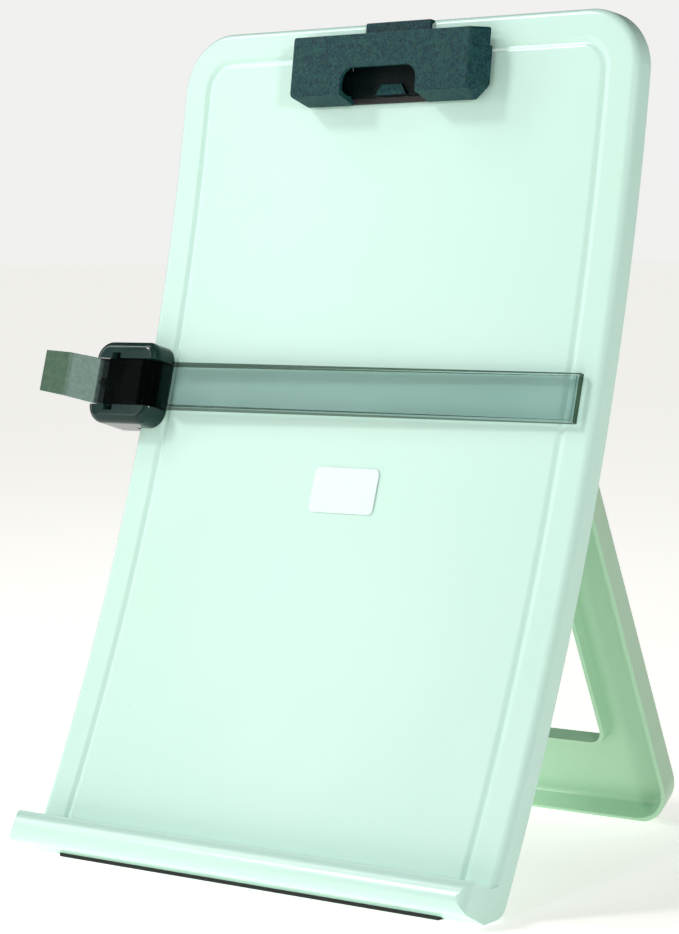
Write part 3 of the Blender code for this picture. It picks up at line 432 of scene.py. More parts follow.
class Nodes:
    """A material's node tree with short calls for what this scene uses."""

    def __init__(self, name):
        self.material = bpy.data.materials.new(name)
        self.material.use_nodes = True
        self.tree = self.material.node_tree
        self.shader = self.tree.nodes["Principled BSDF"]
        self.output = self.tree.nodes["Material Output"]
        self.coords = self.tree.nodes.new("ShaderNodeTexCoord").outputs["Object"]

    def node(self, kind, **settings):
        made = self.tree.nodes.new("ShaderNode" + kind)
        for key, value in settings.items():
            setattr(made, key, value)
        return made

    def link(self, source, target):
        self.tree.links.new(source, target)

    def noise(self, scale, detail=3.0, roughness=0.5):
        made = self.node("TexNoise")
        made.inputs["Scale"].default_value = scale
        made.inputs["Detail"].default_value = detail
        made.inputs["Roughness"].default_value = roughness
        self.link(self.coords, made.inputs["Vector"])
        return made.outputs["Fac"]

    def ramp(self, source, *stops):
        """Colour ramp through (position, colour) stops."""
        made = self.node("ValToRGB")
        elements = made.color_ramp.elements
        while len(elements) < len(stops):
            elements.new(0.5)
        for element, (position, colour) in zip(elements, stops):
            element.position = position
            element.color = (*colour, 1.0)
        self.link(source, made.inputs["Fac"])
        return made.outputs["Color"]

    def spread(self, source, low, high):
        """Map a 0..1 value to low..high."""
        made = self.node("MapRange")
        made.inputs["To Min"].default_value = low
        made.inputs["To Max"].default_value = high
        self.link(source, made.inputs["Value"])
        return made.outputs["Result"]

    def mix(self, left, right, factor):
        """Mix two colours by a number or by a socket's value."""
        made = self.node("MixRGB")
        if hasattr(factor, "is_output"):
            self.link(factor, made.inputs["Fac"])
        else:
            made.inputs["Fac"].default_value = factor
        self.link(left, made.inputs["Color1"])
        self.link(right, made.inputs["Color2"])
        return made.outputs["Color"]

    def bump(self, height, strength, distance):
        made = self.node("Bump")
        made.inputs["Strength"].default_value = strength
        made.inputs["Distance"].default_value = distance
        self.link(height, made.inputs["Height"])
        return made.outputs["Normal"]

    def set(self, **values):
        """Set the main shader's inputs, with _ for a space, to sockets or constants."""
        for key, value in values.items():
            socket = self.shader.inputs[key.replace("_", " ")]
            if hasattr(value, "is_output"):
                self.link(value, socket)
            else:
                socket.default_value = value
        return self.material


def moulded_mint(name, light, shade):
    """Satin injection-moulded plastic with a faint spark grain and slow colour drift."""
    nodes = Nodes(name)
    drift = nodes.noise(9.0, 2.0)
    fine = nodes.noise(900.0, 2.0, 0.6)
    colour = nodes.ramp(drift, (0.3, shade), (0.7, light))
    rough = nodes.spread(nodes.noise(60.0, 4.0, 0.65), 0.20, 0.30)
    return nodes.set(Base_Color=colour, Roughness=rough, Specular_IOR_Level=0.55,
                     Normal=nodes.bump(fine, 0.06, 0.1 * MM))


def spark_teal(name, gain):
    """Dark teal plastic with a coarse spark-eroded texture that mottles its colour. A gain below 1
    gives a darker copy, used as painted shade.
    """
    nodes = Nodes(name)
    coarse = nodes.noise(1000.0, 3.0, 0.75)
    patch = nodes.noise(330.0, 3.0, 0.7)

    def tone(*colour):
        return tuple(gain * channel for channel in colour)

    speckle = nodes.mix(nodes.ramp(coarse, (0.42, tone(0.001, 0.016, 0.022)),
                                   (0.60, tone(0.018, 0.104, 0.106))),
                        nodes.ramp(patch, (0.40, tone(0.001, 0.026, 0.050)),
                                   (0.60, tone(0.012, 0.078, 0.062))), 0.5)
    return nodes.set(Base_Color=speckle, Roughness=nodes.spread(coarse, 0.42, 0.62),
                     Normal=nodes.bump(coarse, 0.6, 0.2 * MM), Specular_IOR_Level=0.22)


def gloss_black():
    """Polished black plastic with a faint green cast and finger smears in its gloss."""
    nodes = Nodes("slider_gloss_black")
    smear = nodes.noise(45.0, 4.0, 0.6)
    return nodes.set(Base_Color=nodes.ramp(smear, (0.3, (0.006, 0.024, 0.022)),
                                           (0.8, (0.016, 0.052, 0.045))),
                     Roughness=nodes.spread(smear, 0.10, 0.22), Specular_IOR_Level=0.24,
                     Normal=nodes.bump(nodes.noise(160.0, 2.0), 0.05, 0.1 * MM))


def steel():
    """Bright zinc plating with fine uneven gloss."""
    nodes = Nodes("zinc_steel")
    return nodes.set(Base_Color=nodes.ramp(nodes.noise(300.0), (0.3, (0.50, 0.51, 0.52)),
                                           (0.7, (0.68, 0.68, 0.69))),
                     Roughness=nodes.spread(nodes.noise(700.0), 0.2, 0.38), Metallic=1.0)


def rubber():
    """Matt black rubber."""
    nodes = Nodes("black_rubber")
    grain = nodes.noise(1200.0, 3.0, 0.7)
    return nodes.set(Base_Color=nodes.ramp(grain, (0.3, (0.010, 0.010, 0.010)),
                                           (0.8, (0.028, 0.028, 0.027))),
                     Roughness=nodes.spread(grain, 0.65, 0.85),
                     Normal=nodes.bump(grain, 0.3, 0.1 * MM))


def sticker():
    """Plain satin paper, slightly blue."""
    nodes = Nodes("sticker_white")
    fibre = nodes.noise(700.0, 3.0, 0.6)
    return nodes.set(Base_Color=nodes.ramp(fibre, (0.3, (0.83, 0.93, 0.96)),
                                           (0.7, (0.90, 0.98, 1.0))),
                     Roughness=0.35, Normal=nodes.bump(fibre, 0.08, 0.05 * MM))


def smoke_clear(name, painted_edge_shade=False):
    """Clear smoke-tinted sheet that lets light through unbent. Its tint holds painted shade:
    darker at its tab, darkest on the tab's outer facet, nearly black over the rocker, and dark all
    over in the edge version.
    """
    nodes = Nodes(name)
    streak = nodes.noise(30.0, 3.0, 0.5)
    grit = nodes.noise(500.0, 2.0, 0.6)
    # Painted shade: the tab is tinted darker than the bar with its outer facet darkest, and the
    # rocker over the channel almost black.
    tab_outer_painted_shade = nodes.ramp(grit, (0.3, (0.32, 0.43, 0.36)), (0.7, (0.39, 0.50, 0.43)))
    tab_inner_painted_shade = nodes.ramp(grit, (0.3, (0.45, 0.55, 0.52)), (0.7, (0.52, 0.62, 0.59)))
    rocker = nodes.ramp(grit, (0.3, (0.10, 0.13, 0.13)), (0.7, (0.16, 0.19, 0.19)))
    # The edge version is a dark tint: painted shade along the sheet's edges and the roots of its
    # ribs.
    if painted_edge_shade:
        bar = nodes.ramp(streak, (0.3, (0.13, 0.17, 0.12)), (0.7, (0.19, 0.23, 0.16)))
    else:
        bar = nodes.ramp(streak, (0.3, (0.825, 0.87, 0.875)), (0.7, (0.85, 0.89, 0.895)))
    split = nodes.node("SeparateXYZ")
    nodes.link(nodes.coords, split.inputs["Vector"])

    def change_at(x, left, right):
        """One colour to the left of x and another to its right."""
        where = nodes.node("MapRange")
        where.inputs["From Min"].default_value = x - TINT_FADE
        where.inputs["From Max"].default_value = x + TINT_FADE
        nodes.link(split.outputs["X"], where.inputs["Value"])
        return nodes.mix(left, right, where.outputs["Result"])

    tint = change_at(TAB_BEND[0], tab_outer_painted_shade, tab_inner_painted_shade)
    tint = change_at(ROCKER_PAINTED_SHADE_X[0], tint, rocker)
    tint = change_at(ROCKER_PAINTED_SHADE_X[1], tint, bar)
    see = nodes.node("BsdfTransparent")
    nodes.link(tint, see.inputs["Color"])
    nodes.set(Base_Color=(0.05, 0.07, 0.065, 1), Roughness=0.06,
              Normal=nodes.bump(nodes.noise(25.0), 0.04, 0.2 * MM))

    # The share of gloss is 0.03 face on and rises as the fourth power towards grazing.
    facing = nodes.node("LayerWeight")
    facing.inputs["Blend"].default_value = 0.5
    steep = nodes.node("Math", operation="POWER")
    steep.inputs[1].default_value = 4.0
    nodes.link(facing.outputs["Facing"], steep.inputs[0])
    share = nodes.node("Math", operation="MULTIPLY_ADD")
    share.inputs[1].default_value = 0.7
    share.inputs[2].default_value = 0.03
    nodes.link(steep.outputs["Value"], share.inputs[0])

    surface = nodes.node("MixShader")
    nodes.link(share.outputs["Value"], surface.inputs["Fac"])
    nodes.link(see.outputs["BSDF"], surface.inputs[1])
    nodes.link(nodes.shader.outputs["BSDF"], surface.inputs[2])
    nodes.link(surface.outputs["Shader"], nodes.output.inputs["Surface"])
    return nodes.material


MINT = moulded_mint("mint_plastic", (0.665, 0.935, 0.84), (0.645, 0.925, 0.80))
# The leg and its caps get a darker, greener copy of the mint: painted shade, for the leg standing
# in shade behind the board.
LEG_MINT_PAINTED_SHADE = moulded_mint("leg_mint_painted_shade", (0.46, 0.69, 0.49), (0.41, 0.64, 0.44))
TEAL = spark_teal("clip_spark_teal", 1.0)
# A dark copy of the clip's teal: painted shade for the hollow of the jaw and the plate under it.
TEAL_PAINTED_SHADE = spark_teal("clip_teal_painted_shade", 0.12)
BLACK = gloss_black()
STEEL = steel()
RUBBER = rubber()
STICKER = sticker()
SMOKE = smoke_clear("guide_smoke_clear")
SMOKE_PAINTED_EDGE_SHADE = smoke_clear("guide_edge_painted_shade", painted_edge_shade=True)

# ---------------------------------------------------------------- board

def board_ring(side, top, bottom, n):
    """Outline of the flat board at n, moved in at its sides and top, up from its bottom."""
    radius = max(CORNER_RADIUS - min(side, top), 1 * MM)
    outline = rounded_rectangle(-BOARD_WIDTH / 2 + side, BOARD_WIDTH / 2 - side,
                                bottom, BOARD_LENGTH - top, 0.6 * MM, radius, 16)
    return [local(x, n, s) for x, s in outline]


def board_shell():
    # The tray behind the panel and the rim's rounded back edge.
    rings = [board_ring(WALL, WALL, BOTTOM_CHAMFER, -WALL),
             board_ring(WALL, WALL, BOTTOM_CHAMFER, -RIM_DEPTH + 0.4 * MM),
             board_ring(WALL - 0.15 * MM, WALL - 0.15 * MM, BOTTOM_CHAMFER - 0.2 * MM,
                        -RIM_DEPTH + 0.1 * MM),
             board_ring(WALL - 0.5 * MM, WALL - 0.5 * MM, BOTTOM_CHAMFER - 0.5 * MM, -RIM_DEPTH),
             board_ring(0.5 * MM, 0.5 * MM, 0.9 * MM, -RIM_DEPTH),
             board_ring(0.15 * MM, 0.15 * MM, 0.6 * MM, -RIM_DEPTH + 0.15 * MM),
             board_ring(0, 0, 0.4 * MM, -RIM_DEPTH + 0.5 * MM)]
    # The quarter round from the rim's side to its face.
    for angle in quarter_turn(9)[:-1]:
        inset = EDGE_ROUND * (1 - math.cos(angle))
        n = -EDGE_ROUND * (1 - math.sin(angle))
        rings.append(board_ring(inset, inset, 0.4 * MM + inset / 3, n))
    rings.append(board_ring(EDGE_ROUND + 0.2 * MM, EDGE_ROUND + 0.2 * MM, 1.45 * MM, 0))
    # The border groove, one cosine wave across.
    edge = GROOVE_HALF_WIDTH + 0.3 * MM
    rings.append(board_ring(GROOVE_SIDE_INSET - edge, GROOVE_TOP_INSET - edge, 1.5 * MM, 0))
    waves = 12
    for step in range(waves + 1):
        across = -1 + 2 * step / waves
        n = -GROOVE_DEPTH * 0.5 * (1 + math.cos(math.pi * across))
        offset = GROOVE_HALF_WIDTH * across
        rings.append(board_ring(GROOVE_SIDE_INSET + offset, GROOVE_TOP_INSET + offset,
                                1.6 * MM + 0.1 * MM * step, n))
    rings.append(board_ring(GROOVE_SIDE_INSET + edge, GROOVE_TOP_INSET + edge, 2.9 * MM, 0))
    return loft("board_moulding", rings)


def ledge_profile(reach, bottom):
    """Outer side of the ledge's section as (n, s), from its back under the nose to the lip."""
    nose = LEDGE_NOSE_RADIUS
    front = LEDGE_FRONT_RADIUS
    profile = [(LEDGE_BACK, bottom), (reach - nose, bottom)]
    profile += arc((reach - nose, nose), nose - bottom, -90, 0, 10)[1:]
    profile += arc((reach - front - bottom, nose), front, 0, 44, 8)[1:]
    return profile


def ledge():
    half = BOARD_WIDTH / 2 - 0.1 * MM
    profile = ledge_profile(LEDGE_REACH, 0)
    profile += arc((TROUGH_WIDTH + 1.2 * MM, LEDGE_HEIGHT - 1.2 * MM), 1.2 * MM, 60, 180, 8)
    profile += arc((TROUGH_WIDTH - 2.5 * MM, LEDGE_FLOOR + 2.5 * MM), 2.5 * MM, 0, -90, 6)
    profile += arc((2 * MM, LEDGE_FLOOR + 2 * MM), 2 * MM, -90, -180, 6)
    profile.append((LEDGE_BACK, LEDGE_FLOOR + 2 * MM))
    body = prism("ledge_body", [(-n, s) for n, s in profile], "X", -half, half)
    end_profile = ledge_profile(LEDGE_REACH - 0.05 * MM, 0.05 * MM)
    end_profile += [(13 * MM, LEDGE_HEIGHT - 0.1 * MM), (2 * MM, LEDGE_HEIGHT + 0.4 * MM),
                    (-1.5 * MM, LEDGE_HEIGHT + 2.6 * MM), (LEDGE_BACK, LEDGE_HEIGHT + 2.6 * MM)]
    for side in SIDES:
        low = min(side * half, side * (half - WALL))
        join(body, prism("ledge_end", [(-n, s) for n, s in end_profile], "X", low, low + WALL))
    radius = LEDGE_CORNER_RADIUS
    plan = arc((half - radius, -LEDGE_REACH + radius), radius, -90, 0, 12)
    plan += [(half + MM, -LEDGE_REACH + radius), (half + MM, 20 * MM),
             (-half - MM, 20 * MM), (-half - MM, -LEDGE_REACH + radius)]
    plan += arc((-half + radius, -LEDGE_REACH + radius), radius, 180, 270, 12)
    boolean(body, prism("ledge_plan", plan, "Z", -5 * MM, 30 * MM), "INTERSECT")
    clean(bake(body))
    return bake(bevel(body, 0.9 * MM, 4, 50))


def board_ribs():
    ribs = []
    for side in SIDES:
        ribs.append(slab("rib_long", band(side * BACK_RIB_X, BACK_RIB_HALF), BACK_RIB_N,
                         (9 * MM, BOARD_LENGTH - 2 * MM)))
        for row in BACK_RIB_ROWS:
            ribs.append(slab("rib_cross", (side * 87.5 * MM, side * 110 * MM), BACK_RIB_N,
                             band(row, BACK_RIB_HALF)))
    ribs.append(slab("rib_top", band(0, BACK_RIB_X), BACK_RIB_N,
                     band(BACK_RIB_ROWS[-1], BACK_RIB_HALF)))
    return ribs


def heel():
    """What is cut away below the board: under its flat toe and round its bottom back corner."""
    far = 24 * MM
    toe = 0.4 * MM
    outline = [(-toe, 0), (-toe, -far), (far, -far), (far, 12 * MM),
               (10.2 * MM, 12 * MM), (9.98 * MM, 10.4 * MM), (9.7 * MM, 9 * MM),
               (9.3 * MM, 7.75 * MM), (8.8 * MM, 6.7 * MM), (8.15 * MM, 5.73 * MM),
               (7.4 * MM, 4.9 * MM), (6.45 * MM, 4.1 * MM), (5.4 * MM, 3.4 * MM)]
    return prism("heel", outline, "X", -BOARD_WIDTH, BOARD_WIDTH)


def pin_in_leg():
    return Vector((0, LEG_DEPTH / 2, LEG_BELOW_PIN))


def pin_on_board():
    """Place of the leg's pin on the board, as (s, n)."""
    pin = leg_frame() @ pin_in_leg()
    radius = math.hypot(pin.y - ARC_Y, ARC_Z - pin.z)
    tilt = math.atan2(ARC_Z - pin.z, pin.y - ARC_Y)
    return (TILT_BOTTOM - tilt) * ARC_RADIUS, ARC_RADIUS - radius


def make_board():
    board = board_shell()
    pin_s, pin_n = pin_on_board()
    join(board, ledge(), *board_ribs())
    for side in SIDES:
        join(board, slab("post", (side * POST_INNER_X, side * (POST_INNER_X + POST_WIDTH)),
                         (pin_n, -1.5 * MM), band(pin_s, POST_HEIGHT / 2)))
    land = slab("land", band(0, STRIP_LENGTH / 2 + MM), band(0, 12 * MM),
                (-10 * MM, STRIP_THICKNESS + GAP))
    land.data.transform(board_frame(0, 0, 0).inverted())
    cut(board, heel(), land)
    cut(board, rod_along("rod_seat", ROD_RADIUS + GAP, POST_INNER_X + POST_WIDTH + MM,
                         pin_n, pin_s))
    for side in SIDES:
        cut(board, rod_through("boss_hole", CLIP_BOSS_RADIUS + BOSS_CLEARANCE,
                               side * CLIP_SCREW_X, CLIP_S + CLIP_SCREW_Z,
                               (-6 * MM, 3 * MM), segments=46))
    cut(board, slab("tab_notch", band(0, TAB_WIDTH / 2 + GAP), band(0, OVERCUT),
                    (BOARD_LENGTH - TAB_NOTCH_DEPTH, BOARD_LENGTH + OVERCUT)))
    bend(bake(board))
    return finish(board, "board_frame", MINT, "board", sharp=28)


# ---------------------------------------------------------------- leg

def leg_ring(inset, w):
    """Outline of the tapered leg at a depth w behind its open front."""
    inset += LEG_DRAFT * w / LEG_DEPTH
    top = LEG_BELOW_PIN + LEG_ABOVE_PIN - inset
    outline = rounded_rectangle(-LEG_WIDTH / 2 + inset, LEG_WIDTH / 2 - inset, inset, top,
                                LEG_CORNER_RADIUS - inset, 8 * MM - inset, 14)
    return [Vector((x, w, u)) for x, u in outline]


def leg_window(inset):
    """Outline of the hand window in the leg."""
    half = WINDOW_WIDTH / 2 - inset
    return rounded_rectangle(-half, half, WINDOW_BOTTOM + inset, WINDOW_TOP - inset,
                             WINDOW_CORNER - inset, WINDOW_CORNER - inset)


def make_leg():
    floor = LEG_DEPTH - LEG_WALL
    rings = [leg_ring(LEG_WALL + LEG_INNER_ROUND * (1 - math.sin(angle)),
                      floor - LEG_INNER_ROUND * (1 - math.cos(angle)))
             for angle in quarter_turn(6)]
    rings += [leg_ring(LEG_WALL, 0.45 * MM), leg_ring(LEG_WALL - 0.15 * MM, 0.1 * MM),
              leg_ring(LEG_WALL - 0.45 * MM, 0), leg_ring(0.5 * MM, 0),
              leg_ring(0.15 * MM, 0.15 * MM), leg_ring(0, 0.5 * MM)]
    rings += [leg_ring(LEG_BACK_ROUND * (1 - math.cos(angle)),
                       LEG_DEPTH - LEG_BACK_ROUND * (1 - math.sin(angle)))
              for angle in quarter_turn(6)]
    leg = loft("leg_moulding", rings)
    join(leg, prism("window_flange", leg_window(0), "Y", FLANGE_FRONT, LEG_DEPTH - MM))
    pin = pin_in_leg()
    for side in SIDES:
        outer = pin + Vector((side * (LEG_WIDTH / 2 - 2.2 * MM), 0, 0))
        inner = pin + Vector((side * (LEG_WIDTH / 2 - 6 * MM), 0, 0))
        join(leg, rod("leg_boss", LEG_BOSS_RADIUS, outer, inner, "X"))
    cut(leg, prism("window", leg_window(FLANGE_WALL), "Y", -OVERCUT, OVERCUT))
    cut(leg, rod_along("leg_rod_hole", ROD_RADIUS + GAP, LEG_WIDTH / 2 + MM, -pin.y, pin.z))
    bake(leg)
    leg.data.transform(leg_frame())
    cut(leg, slab("desk_trim", band(0, 100 * MM), band(-LEG_FOOT_Y, 50 * MM), (-20 * MM, 0)))
    clean(bake(leg))
    return finish(leg, "rear_leg", LEG_MINT_PAINTED_SHADE, "leg")


def hinge_frame():
    pin_s, pin_n = pin_on_board()
    return board_frame(0, pin_s, pin_n)


def make_leg_cap(side_name, side):
    near = side * POST_INNER_X
    far = side * (POST_INNER_X + POST_WIDTH)
    cap = slab("cap_" + side_name, (near, far), (-CAP_THICKNESS - GAP, -GAP),
               band(0, POST_HEIGHT / 2))
    bevel(cap, MM, 4)
    cut(cap, rod_along("cap_seat", ROD_RADIUS + GAP, POST_INNER_X + POST_WIDTH + MM, 0, 0))
    for offset in (-CAP_SCREW_OFFSET, CAP_SCREW_OFFSET):
        cut(cap, rod_through("cap_hole", SCREW_HOLE_RADIUS, (near + far) / 2, offset,
                             (MM, -CAP_THICKNESS - 2 * MM)))
    return finish(cap, "board_frame", LEG_MINT_PAINTED_SHADE, "leg_cap_" + side_name,
                  placing=hinge_frame())


# ---------------------------------------------------------------- clip

def jaw_form(name, inset, back_n):
    """Convex form of the jaw: narrower in front, with a bevel under its back."""
    front_n = CLIP_FRONT - inset
    bm = bmesh.new()
    for side in SIDES:
        for x, n, z in ((47 * MM - inset, front_n, -12.8 * MM + inset),
                        (47 * MM - inset, front_n, 12.4 * MM - inset),
                        (51 * MM - inset, back_n, 13.8 * MM - inset),
                        (51 * MM - inset, back_n, -10.5 * MM + inset / 2),
                        (45 * MM - inset, back_n, -15.8 * MM + inset)):
            bm.verts.new(local(side * x, n, z))
    bmesh.ops.convex_hull(bm, input=bm.verts)
    bmesh.ops.dissolve_limit(bm, angle_limit=0.0001, verts=bm.verts, edges=bm.edges)
    return object_from_bmesh(name, bm)


def make_clip_jaw(frame_matrix):
    jaw = jaw_form("jaw_moulding", 0, 2.6 * MM)
    bevel(jaw, 1.1 * MM, 6, 25)
    cut(jaw, jaw_form("jaw_hollow", CLIP_WALL, 2.4 * MM))
    for side in SIDES:
        join(jaw, slab("pad_seat", (side * 21.5 * MM, side * 44 * MM), (2.65 * MM, 5 * MM),
                       (-14.9 * MM, -11.8 * MM)))
        join(jaw, slab("pin_lug", (side * 34.2 * MM, side * 37.5 * MM),
                       (3.4 * MM, CLIP_FRONT - MM),
                       (CLIP_PIN_Z - 3 * MM, CLIP_PIN_Z + 4 * MM)))
    cut(jaw, slab("top_relief", band(0, 60 * MM), (-2 * MM, 4.2 * MM), (6 * MM, 20 * MM)))
    half = THUMB_WIDTH / 2
    thumb = rounded_rectangle(-half, half, -30 * MM, -1.5 * MM, 1 * MM, 6 * MM)
    cut(jaw, prism("thumb", thumb, "Y", -20 * MM, 6 * MM))
    cut(jaw, rod_along("jaw_pin_hole", CLIP_PIN_RADIUS + GAP, 38.5 * MM, CLIP_PIN_N, CLIP_PIN_Z,
                       segments=20))
    for side in SIDES:
        outline = [(47.1 * MM, 11.5 * MM), (50.8 * MM, 2 * MM), (60 * MM, 2 * MM),
                   (60 * MM, 11.5 * MM)]
        cut(jaw, prism("side_groove", [(side * x, -n) for x, n in outline], "Z",
                       4.6 * MM, 5.4 * MM))

    # Faces in the jaw's hollow, behind its front, get painted shade.
    def painted_shade_faces(centre, _normal):
        return (abs(centre.x) < 45 * MM and -centre.y < 11.6 * MM
                and -12.4 * MM < centre.z < 11 * MM)

    return finish(jaw, "jaw", TEAL, "clip_jaw", placing=frame_matrix, sharp=40,
                  second_where=painted_shade_faces, second_material=TEAL_PAINTED_SHADE)


def make_clip_base(frame_matrix):
    top = BOARD_LENGTH - CLIP_S - TAB_NOTCH_DEPTH + GAP
    base = slab("clip_plate", band(0, 33.5 * MM), (0.5 * MM, 2.1 * MM), band(0, 12.4 * MM))
    bevel(base, 0.4 * MM, 2)
    tab = band(0, TAB_WIDTH / 2)
    join(base, slab("tab_front", tab, (0.55 * MM, 2.05 * MM), (8 * MM, top + 0.8 * MM)))
    hook = slab("tab_top", tab, (-12 * MM, 2 * MM), (top, top + TAB_THICKNESS))
    join(base, bevel(hook, 0.35 * MM, 3))
    join(base, slab("tab_back", tab, (-11.95 * MM, -10.4 * MM),
                    (top - 11 * MM, top + 0.8 * MM)))
    for side in SIDES:
        ear = slab("ear", (side * 30.2 * MM, side * 33.4 * MM), (1 * MM, 8.4 * MM),
                   (CLIP_PIN_Z - 3 * MM, CLIP_PIN_Z + 2.4 * MM))
        join(base, bevel(ear, 0.8 * MM, 3))
        join(base, rod_through("boss", CLIP_BOSS_RADIUS, side * CLIP_SCREW_X, CLIP_SCREW_Z,
                               (MM, -2 * MM)))
    tongue = [(-8.2 * MM, -12 * MM), (8.2 * MM, -12 * MM), (5.2 * MM, -7.6 * MM),
              (-5.2 * MM, -7.6 * MM)]
    join(base, prism("tongue", tongue, "Y", -3.4 * MM, -1.5 * MM))
    cut(base, rod_along("ear_hole", CLIP_PIN_RADIUS + GAP, 34 * MM, CLIP_PIN_N, CLIP_PIN_Z,
                        segments=20))
    for side in SIDES:
        cut(base, rod_through("boss_screw_hole", SCREW_HOLE_RADIUS, side * CLIP_SCREW_X,
                              CLIP_SCREW_Z, (MM, -4 * MM)))

    # All of the base below the tab gets painted shade, except the lit front face of the tongue.
    def painted_shade_faces(centre, _normal):
        on_tongue = abs(centre.x) < 8.1 * MM and -centre.y > 3.3 * MM and centre.z < -7 * MM
        return centre.z < 13 * MM and not on_tongue

    return finish(base, "board_frame", TEAL, "clip_base", placing=frame_matrix,
                  second_where=painted_shade_faces, second_material=TEAL_PAINTED_SHADE)


# ---------------------------------------------------------------- slider and guide

def make_slider_body(frame_matrix):
    outline = rounded_rectangle(SLIDER_LEFT, SLIDER_RIGHT, -SLIDER_HALF_HEIGHT,
                                SLIDER_HALF_HEIGHT, SLIDER_CORNER, SLIDER_CORNER)
    body = prism("carriage", outline, "Y", -SLIDER_FRONT, -SLIDER_BACK)
    bevel(body, SLIDER_ROUND, 8, 50)
    past = 10 * MM
    front = SLIDER_FRONT + past
    cut(body, slab("board_slot", (SLIDER_INNER_X, SLIDER_RIGHT + past),
                   (SLIDER_BACK - past, 0.35 * MM), band(0, OVERCUT)))
    channel = band(0, CHANNEL_HALF)
    cut(body, slab("channel_left", (SLIDER_LEFT - past, SLIDER_INNER_X + 0.01 * MM),
                   (2 * MM, front), channel))
    cut(body, slab("channel_right", (SLIDER_INNER_X, SLIDER_RIGHT + past), (MM, front), channel))
    slot_half = TRUNNION_RADIUS + TRUNNION_CLEARANCE
    cut(body, slab("trunnion_slot", band(PIVOT_X, slot_half), (PIVOT_N - slot_half, front),
                   band(0, CHANNEL_HALF + slot_half)))
    cut(body, slab("brake_pocket", (SLIDER_INNER_X - 2 * MM, SLIDER_INNER_X + MM),
                   (-8 * MM, -2 * MM), band(0, 9 * MM)))
    for side in SIDES:
        cut(body, rod_through("slider_screw_hole", SCREW_HOLE_RADIUS, SLIDER_SCREW_X,
                              side * SLIDER_SCREW_Z, (SLIDER_BACK - MM, -1.5 * MM),
                              segments=24))
    return finish(body, "carriage", BLACK, "slider_body",
                  placing=frame_matrix, sharp=40)


def make_slider_back_plate(frame_matrix):
    outline = rounded_rectangle(-141.7 * MM, -108 * MM, -17 * MM, 17 * MM, 6 * MM, 4 * MM)
    plate = prism("carriage_back", outline, "Y", 10.8 * MM, 12.8 * MM)
    bevel(plate, 0.5 * MM, 3, 50)
    join(plate, slab("hook", (-117.1 * MM, -115.3 * MM), (-11.5 * MM, -6.5 * MM),
                     band(0, 15 * MM)))
    for side in SIDES:
        cut(plate, rod_through("plate_hole", SCREW_HOLE_RADIUS, SLIDER_SCREW_X,
                               side * SLIDER_SCREW_Z, (-9 * MM, -14 * MM), segments=24))
    return finish(plate, "carriage", BLACK, "slider_back_plate",
                  placing=frame_matrix)


def guide_path():
    """Middle of the guide's sheet as (x, n): finger tab, rocker, step down and straight bar."""
    path = [TAB_END, TAB_BEND, TAB_ROOT]
    root_radius = 3.2 * MM
    path += arc((-135.6 * MM, ROCKER_N + root_radius), root_radius, -140, -90, 12)
    radius = 6 * MM
    path += arc((ROCKER_END_X, ROCKER_N - radius), radius, 90, 30, 16)
    foot_x = ROCKER_END_X + 2 * radius * math.cos(math.radians(30)) + MM
    path += arc((foot_x, BAR_N + radius), radius, 215, 270, 16)
    path.append((GUIDE_TIP_X, BAR_N))
    return path


def thicken(path, thickness):
    """Closed outline on both sides of an open path."""
    left = []
    right = []
    for index, point in enumerate(path):
        here = Vector(point)
        before = Vector(path[max(index - 1, 0)])
        after = Vector(path[min(index + 1, len(path) - 1)])
        incoming = (here - before).normalized() if index else (after - here).normalized()
        outgoing = (after - here).normalized() if index < len(path) - 1 else incoming
        mean = (incoming + outgoing).normalized()
        normal = Vector((-mean.y, mean.x))
        offset = normal * thickness / 2 / max(mean.dot(incoming), 0.5)
        left.append(here + offset)
        right.append(here - offset)
    return left + right[::-1]


def guide_rib(name, z_low):
    """Tapered stiffening rib along one long edge of the bar."""
    root_x = -101 * MM
    tip_x = GUIDE_TIP_X - 0.1 * MM
    base_n = BAR_N - GUIDE_SHEET / 2 + 0.1 * MM
    outline = [(root_x, -base_n), (root_x, -base_n - RIB_ROOT_HEIGHT),
               (tip_x, -base_n - RIB_TIP_HEIGHT), (tip_x, -base_n)]
    return prism(name, outline, "Z", z_low, z_low + RIB_WIDTH)


def make_guide(frame_matrix):
    outline = [(point.x, -point.y) for point in thicken(guide_path(), GUIDE_SHEET)]
    guide = prism("line_guide_sheet", outline, "Z", -GUIDE_HALF_HEIGHT, GUIDE_HALF_HEIGHT)
    join(guide, guide_rib("rib_low", -GUIDE_HALF_HEIGHT + 0.02 * MM),
         guide_rib("rib_high", GUIDE_HALF_HEIGHT - RIB_WIDTH - 0.02 * MM))
    join(guide, slab("tip_rib", (GUIDE_TIP_X - 1.6 * MM, GUIDE_TIP_X - 0.05 * MM),
                     (BAR_N, BAR_N + 2 * MM), band(0, 9.5 * MM)))
    taper = [(-139 * MM, -GUIDE_HALF_HEIGHT), (-139 * MM, -14 * MM), (-165 * MM, -14 * MM),
             (-165 * MM, -TAB_END_HALF_HEIGHT)]
    cut(guide, prism("tab_taper", taper, "Y", -40 * MM, 0))
    half = CHANNEL_HALF + 2 * MM
    join(guide, rod("trunnion", TRUNNION_RADIUS, local(PIVOT_X, PIVOT_N, -half),
                    local(PIVOT_X, PIVOT_N, half), "Z", segments=32))

    # The sheet's top and bottom faces and its tip get the dark tint: painted edge shade.
    def painted_edge_shade(_centre, normal):
        return abs(normal.z) > 0.9 or normal.x > 0.9

    return finish(guide, "line_guide", SMOKE, "guide", placing=frame_matrix,
                  sharp=14, weighted=False, second_where=painted_edge_shade, second_material=SMOKE_PAINTED_EDGE_SHADE)


# ---------------------------------------------------------------- small pieces

